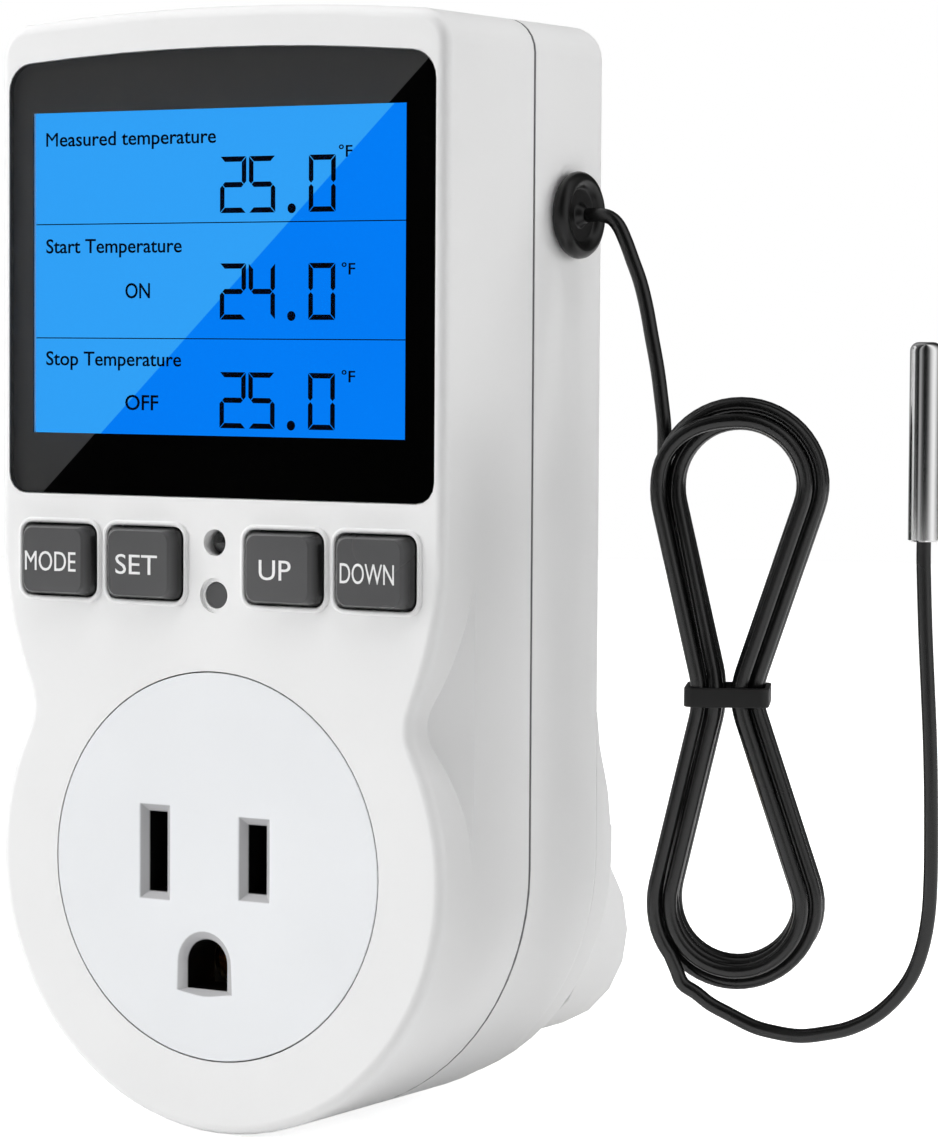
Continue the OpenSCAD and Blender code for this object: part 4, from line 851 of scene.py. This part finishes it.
HEAVIER = 0.01
LABEL_CAP, STATE_CAP, UNIT_CAP = 1.45, 1.55, 1.15
WORDS = (("label_measured_first", "M", -23.3, -21.76, 75.6, LABEL_CAP),
         ("label_measured", "easured temperature", -21.5, -1.15, 75.6, LABEL_CAP),
         ("label_start", "Start Temperature", -23.3, -5.5, 64.25, LABEL_CAP),
         ("label_stop", "Stop Temperature", -23.3, -5.55, 52.3, LABEL_CAP),
         ("label_on", "ON", -12.8, -9.6, 59.45, STATE_CAP),
         ("label_off", "OFF", -12.8, -8.5, 47.65, STATE_CAP),
         ("unit_0", "°F", 14.2, 15.85, 73.85, UNIT_CAP),
         ("unit_1", "°F", 14.6, 16.25, 61.85, UNIT_CAP),
         ("unit_2", "°F", 14.65, 16.3, 50.85, UNIT_CAP))
for name, text, *fit in WORDS:
    word(name, text, *fit, LCD_DEPTH, ink, heavier=0.0 if text == "M" else HEAVIER)
print(len(WORDS), "words on the display")

# %% [markdown]
# The key legends are white print on the caps. They ride on the keys' own bodies, so that they
# sink with them when a key is pressed.

# %% Key legends
legend_white = moulded("legend_white", (0.78, 0.78, 0.78), (0.86, 0.86, 0.86), 0.5)
KEY_FACE, LEGEND_BASE, LEGEND_CAP = -1.5, 30.45, 2.05
LEGENDS = (("mode", -23.7, -16.95), ("set", -11.7, -6.3), ("up", 6.65, 10.6), ("down", 16.65, 23.2))
for key, left, right in LEGENDS:
    word(key + "_legend", key.upper(), left, right, LEGEND_BASE, LEGEND_CAP, KEY_FACE, legend_white,
         body=key + "_key")
print(len(LEGENDS), "legends on the keys")

# %% [markdown]
# Round each key the housing has a small raised lip. All four lips are alike, so Geometry Nodes
# draw one rounded rectangle, sweep a thin round wire along it, and place it on four points. The
# tree's inputs are the lip's sizes, and its result becomes a plain mesh.

# %% Lips round the keys
KEY_W, KEY_H, KEY_Z = 9.6, 7.5, 31.6
KEY_X = (-20.1, -8.85, 8.85, 20.1)
LIP_OUT, LIP_CORNER, LIP_WIRE, LIP_DEPTH = 0.42, 1.45, 0.28, -0.02
CORNER_STEPS, WIRE_SIDES = 6, 12


def lip_tree():
    tree = bpy.data.node_groups.new("key_lips", "GeometryNodeTree")
    tree.interface.new_socket("Geometry", in_out="INPUT", socket_type="NodeSocketGeometry")
    for label in ("Width", "Height", "Corner", "Wire"):
        tree.interface.new_socket(label, in_out="INPUT", socket_type="NodeSocketFloat")
    tree.interface.new_socket("Finish", in_out="INPUT", socket_type="NodeSocketMaterial")
    tree.interface.new_socket("Geometry", in_out="OUTPUT", socket_type="NodeSocketGeometry")
    given, result = tree.nodes.new("NodeGroupInput"), tree.nodes.new("NodeGroupOutput")
    frame_line = tree.nodes.new("GeometryNodeCurvePrimitiveQuadrilateral")
    rounded = tree.nodes.new("GeometryNodeFilletCurve")
    rounded.mode = "POLY"
    rounded.inputs["Count"].default_value = CORNER_STEPS
    wire = tree.nodes.new("GeometryNodeCurvePrimitiveCircle")
    wire.inputs["Resolution"].default_value = WIRE_SIDES
    sweep = tree.nodes.new("GeometryNodeCurveToMesh")
    upright = tree.nodes.new("GeometryNodeTransform")
    upright.inputs["Rotation"].default_value = (math.pi / 2, 0, 0)
    spread = tree.nodes.new("GeometryNodeInstanceOnPoints")
    solid = tree.nodes.new("GeometryNodeRealizeInstances")
    soft = tree.nodes.new("GeometryNodeSetShadeSmooth")
    paint = tree.nodes.new("GeometryNodeSetMaterial")
    for source, target in (
            (given.outputs["Width"], frame_line.inputs["Width"]),
            (given.outputs["Height"], frame_line.inputs["Height"]),
            (frame_line.outputs["Curve"], rounded.inputs["Curve"]),
            (given.outputs["Corner"], rounded.inputs["Radius"]),
            (rounded.outputs["Curve"], sweep.inputs["Curve"]),
            (given.outputs["Wire"], wire.inputs["Radius"]),
            (wire.outputs["Curve"], sweep.inputs["Profile Curve"]),
            (sweep.outputs["Mesh"], upright.inputs["Geometry"]),
            (given.outputs["Geometry"], spread.inputs["Points"]),
            (upright.outputs["Geometry"], spread.inputs["Instance"]),
            (spread.outputs["Instances"], soft.inputs["Geometry"]),
            (soft.outputs["Geometry"], solid.inputs["Geometry"]),
            (solid.outputs["Geometry"], paint.inputs["Geometry"]),
            (given.outputs["Finish"], paint.inputs["Material"]),
            (paint.outputs["Geometry"], result.inputs["Geometry"])):
        tree.links.new(source, target)
    return tree


def grow(name, points, tree, **given):
    """Runs a Geometry Nodes tree on a few points and keeps the result as a plain mesh."""
    seeds = bpy.data.meshes.new(name + "_points")
    seeds.from_pydata([place(*p) for p in points], [], [])
    holder = bpy.data.objects.new(name + "_points", seeds)
    bpy.context.scene.collection.objects.link(holder)
    modifier = holder.modifiers.new("grow", "NODES")
    modifier.node_group = tree
    for item in tree.interface.items_tree:
        if item.in_out == "INPUT" and item.name in given:
            modifier[item.identifier] = given[item.name]
    shaped = holder.evaluated_get(bpy.context.evaluated_depsgraph_get())
    data = bpy.data.meshes.new_from_object(shaped)
    bpy.data.objects.remove(holder)
    data.name = name
    made = bpy.data.objects.new(name, data)
    bpy.context.scene.collection.objects.link(made)
    return made


key_lips = grow("key_lips", [(x, LIP_DEPTH, KEY_Z) for x in KEY_X], lip_tree(),
                Width=(KEY_W + 2 * LIP_OUT) * MM, Height=(KEY_H + 2 * LIP_OUT) * MM,
                Corner=LIP_CORNER * MM, Wire=LIP_WIRE * MM, Finish=finishes["housing_white"])
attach(key_lips, "housing")
print("Key lips:", len(key_lips.data.polygons), "faces")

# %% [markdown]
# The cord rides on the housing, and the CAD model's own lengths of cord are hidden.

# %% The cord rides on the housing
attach(probe_cord, "housing")
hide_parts("probe_lead", "probe_hank", "probe_tail")

# %% [markdown]
# The light is that of a product photograph: a large softbox on the left lights the front, another
# behind on the right lights the side, and the corner between them stays darker, which draws the
# form. Polished steel and gloss show what stands round them, so for mirror rays the world is a
# ring of light and dark strips, as a photographer sets white boards and black flags round a shiny
# tube.

# %% Lights
MIDDLE = place(10, 20, 35)
SOFTBOXES = {  # azimuth and elevation in degrees, distance, width and height in metres, watts
    "softbox_front": (-57, 19, 1.2, 0.7, 0.9, 12.6),
    "softbox_back": (135, 6, 1.2, 0.6, 0.9, 6.8),
    "softbox_side": (112, 12, 1.2, 0.6, 0.9, 1),
    "softbox_right": (90, 2, 1.2, 0.5, 0.9, 2.6),
    "softbox_top": (20, 84, 1.3, 1.0, 1.0, 14),
}


def softbox(name, azimuth, elevation, distance, width, height, watts):
    light = bpy.data.lights.new(name, "AREA")
    light.shape = "RECTANGLE"
    light.size, light.size_y, light.energy = width, height, watts
    a, e = math.radians(azimuth), math.radians(elevation)
    away = Vector((math.sin(a) * math.cos(e), -math.cos(a) * math.cos(e), math.sin(e)))
    lamp = bpy.data.objects.new(name, light)
    lamp.location = MIDDLE + distance * away
    lamp.rotation_euler = away.to_track_quat("Z", "Y").to_euler()
    lamp.visible_glossy = False
    bpy.context.scene.collection.objects.link(lamp)


for name, setting in SOFTBOXES.items():
    softbox(name, *setting)
print(len(SOFTBOXES), "softboxes")

# %% [markdown]
# The photograph's background is pure white. So the world is white where the camera sees it, but
# gives only a little soft light, and the floor glows for the camera, which leaves just a hint of
# shadow.

# %% World and floor
STRIPS = ((-180, 0.01), (-108, 0.33), (-78, 0.14), (-57, 0.09), (-45, 0.06), (-38, 0.015),
          (-25, 0.015), (-20, 0.3), (-10, 0.34), (0, 0.12), (14, 0.013), (21, 0.01), (35, 0.03),
          (49, 0.16), (63, 0.54), (78, 0.86), (94, 1.0), (111, 0.63), (131, 0.26), (155, 0.05),
          (180, 0.01))
SOFT_LIGHT = 0.06
FLOOR_R, FLOOR_SIDES, FLOOR_GAP = 1.1, 96, 0.05
FLOOR_GLOW, FLOOR_GLOW_SEEN = 0.05, 0.75


def strips(tree):
    """Boards and flags round the part: their tone by the angle from the front to the right."""
    away = tree.nodes.new("ShaderNodeTexCoord").outputs["Generated"]
    parts = tree.nodes.new("ShaderNodeSeparateXYZ")
    tree.links.new(away, parts.inputs["Vector"])
    ahead = add_math(tree, "MULTIPLY", parts.outputs["Y"], -1)
    turn = add_math(tree, "ARCTAN2", parts.outputs["X"], ahead)
    ramp = tree.nodes.new("ShaderNodeValToRGB")
    stops = ramp.color_ramp.elements
    stops.remove(stops[1])
    for i, (angle, tone) in enumerate(STRIPS):
        stop = stops.new((angle + 180) / 360) if i else stops[0]
        stop.color = (tone, tone, tone, 1)
    tree.links.new(add_range(tree, turn, -math.pi, math.pi), ramp.inputs["Fac"])
    return ramp.outputs["Color"]


def make_world():
    world = bpy.data.worlds.new("studio")
    bpy.context.scene.world = world
    world.use_nodes = True
    tree = world.node_tree
    tree.nodes.clear()
    path = tree.nodes.new("ShaderNodeLightPath")
    white, grey, boards = (tree.nodes.new("ShaderNodeBackground") for _ in range(3))
    white.inputs["Color"].default_value = (1, 1, 1, 1)
    grey.inputs["Color"].default_value = (SOFT_LIGHT, SOFT_LIGHT, SOFT_LIGHT, 1)
    tree.links.new(strips(tree), boards.inputs["Color"])
    soft, seen = tree.nodes.new("ShaderNodeMixShader"), tree.nodes.new("ShaderNodeMixShader")
    end = tree.nodes.new("ShaderNodeOutputWorld")
    for source, target in ((path.outputs["Is Glossy Ray"], soft.inputs["Fac"]),
                           (grey.outputs[0], soft.inputs[1]), (boards.outputs[0], soft.inputs[2]),
                           (path.outputs["Is Camera Ray"], seen.inputs["Fac"]),
                           (soft.outputs[0], seen.inputs[1]), (white.outputs[0], seen.inputs[2]),
                           (seen.outputs[0], end.inputs["Surface"])):
        tree.links.new(source, target)


def make_floor():
    mesh = bmesh.new()
    bmesh.ops.create_circle(mesh, cap_ends=True, segments=FLOOR_SIDES, radius=FLOOR_R)
    data = bpy.data.meshes.new("floor")
    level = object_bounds()[0].z - FLOOR_GAP * MM
    for vertex in mesh.verts:
        vertex.co.z = level
    mesh.to_mesh(data)
    mesh.free()
    material, tree, shader = shade("floor_pale", Roughness=0.9, Emission_Color=(1, 1, 1, 1))
    seen = tree.nodes.new("ShaderNodeLightPath").outputs["Is Camera Ray"]
    tree.links.new(add_range(tree, seen, 0, 1, FLOOR_GLOW, FLOOR_GLOW_SEEN),
                   shader.inputs["Emission Strength"])
    cloud = use_group(tree, mould_grain, Cloud_scale=3.0).outputs["Cloud"]
    tree.links.new(mix_tones(tree, cloud, (0.86, 0.86, 0.86), (0.88, 0.88, 0.88)),
                   shader.inputs["Base Color"])
    data.materials.append(material)
    floor = bpy.data.objects.new("floor", data)
    bpy.context.scene.collection.objects.link(floor)
    print("The floor lies at z =", round(level, 4), "m")


make_world()
make_floor()
bpy.context.scene.view_settings.view_transform = "Standard"
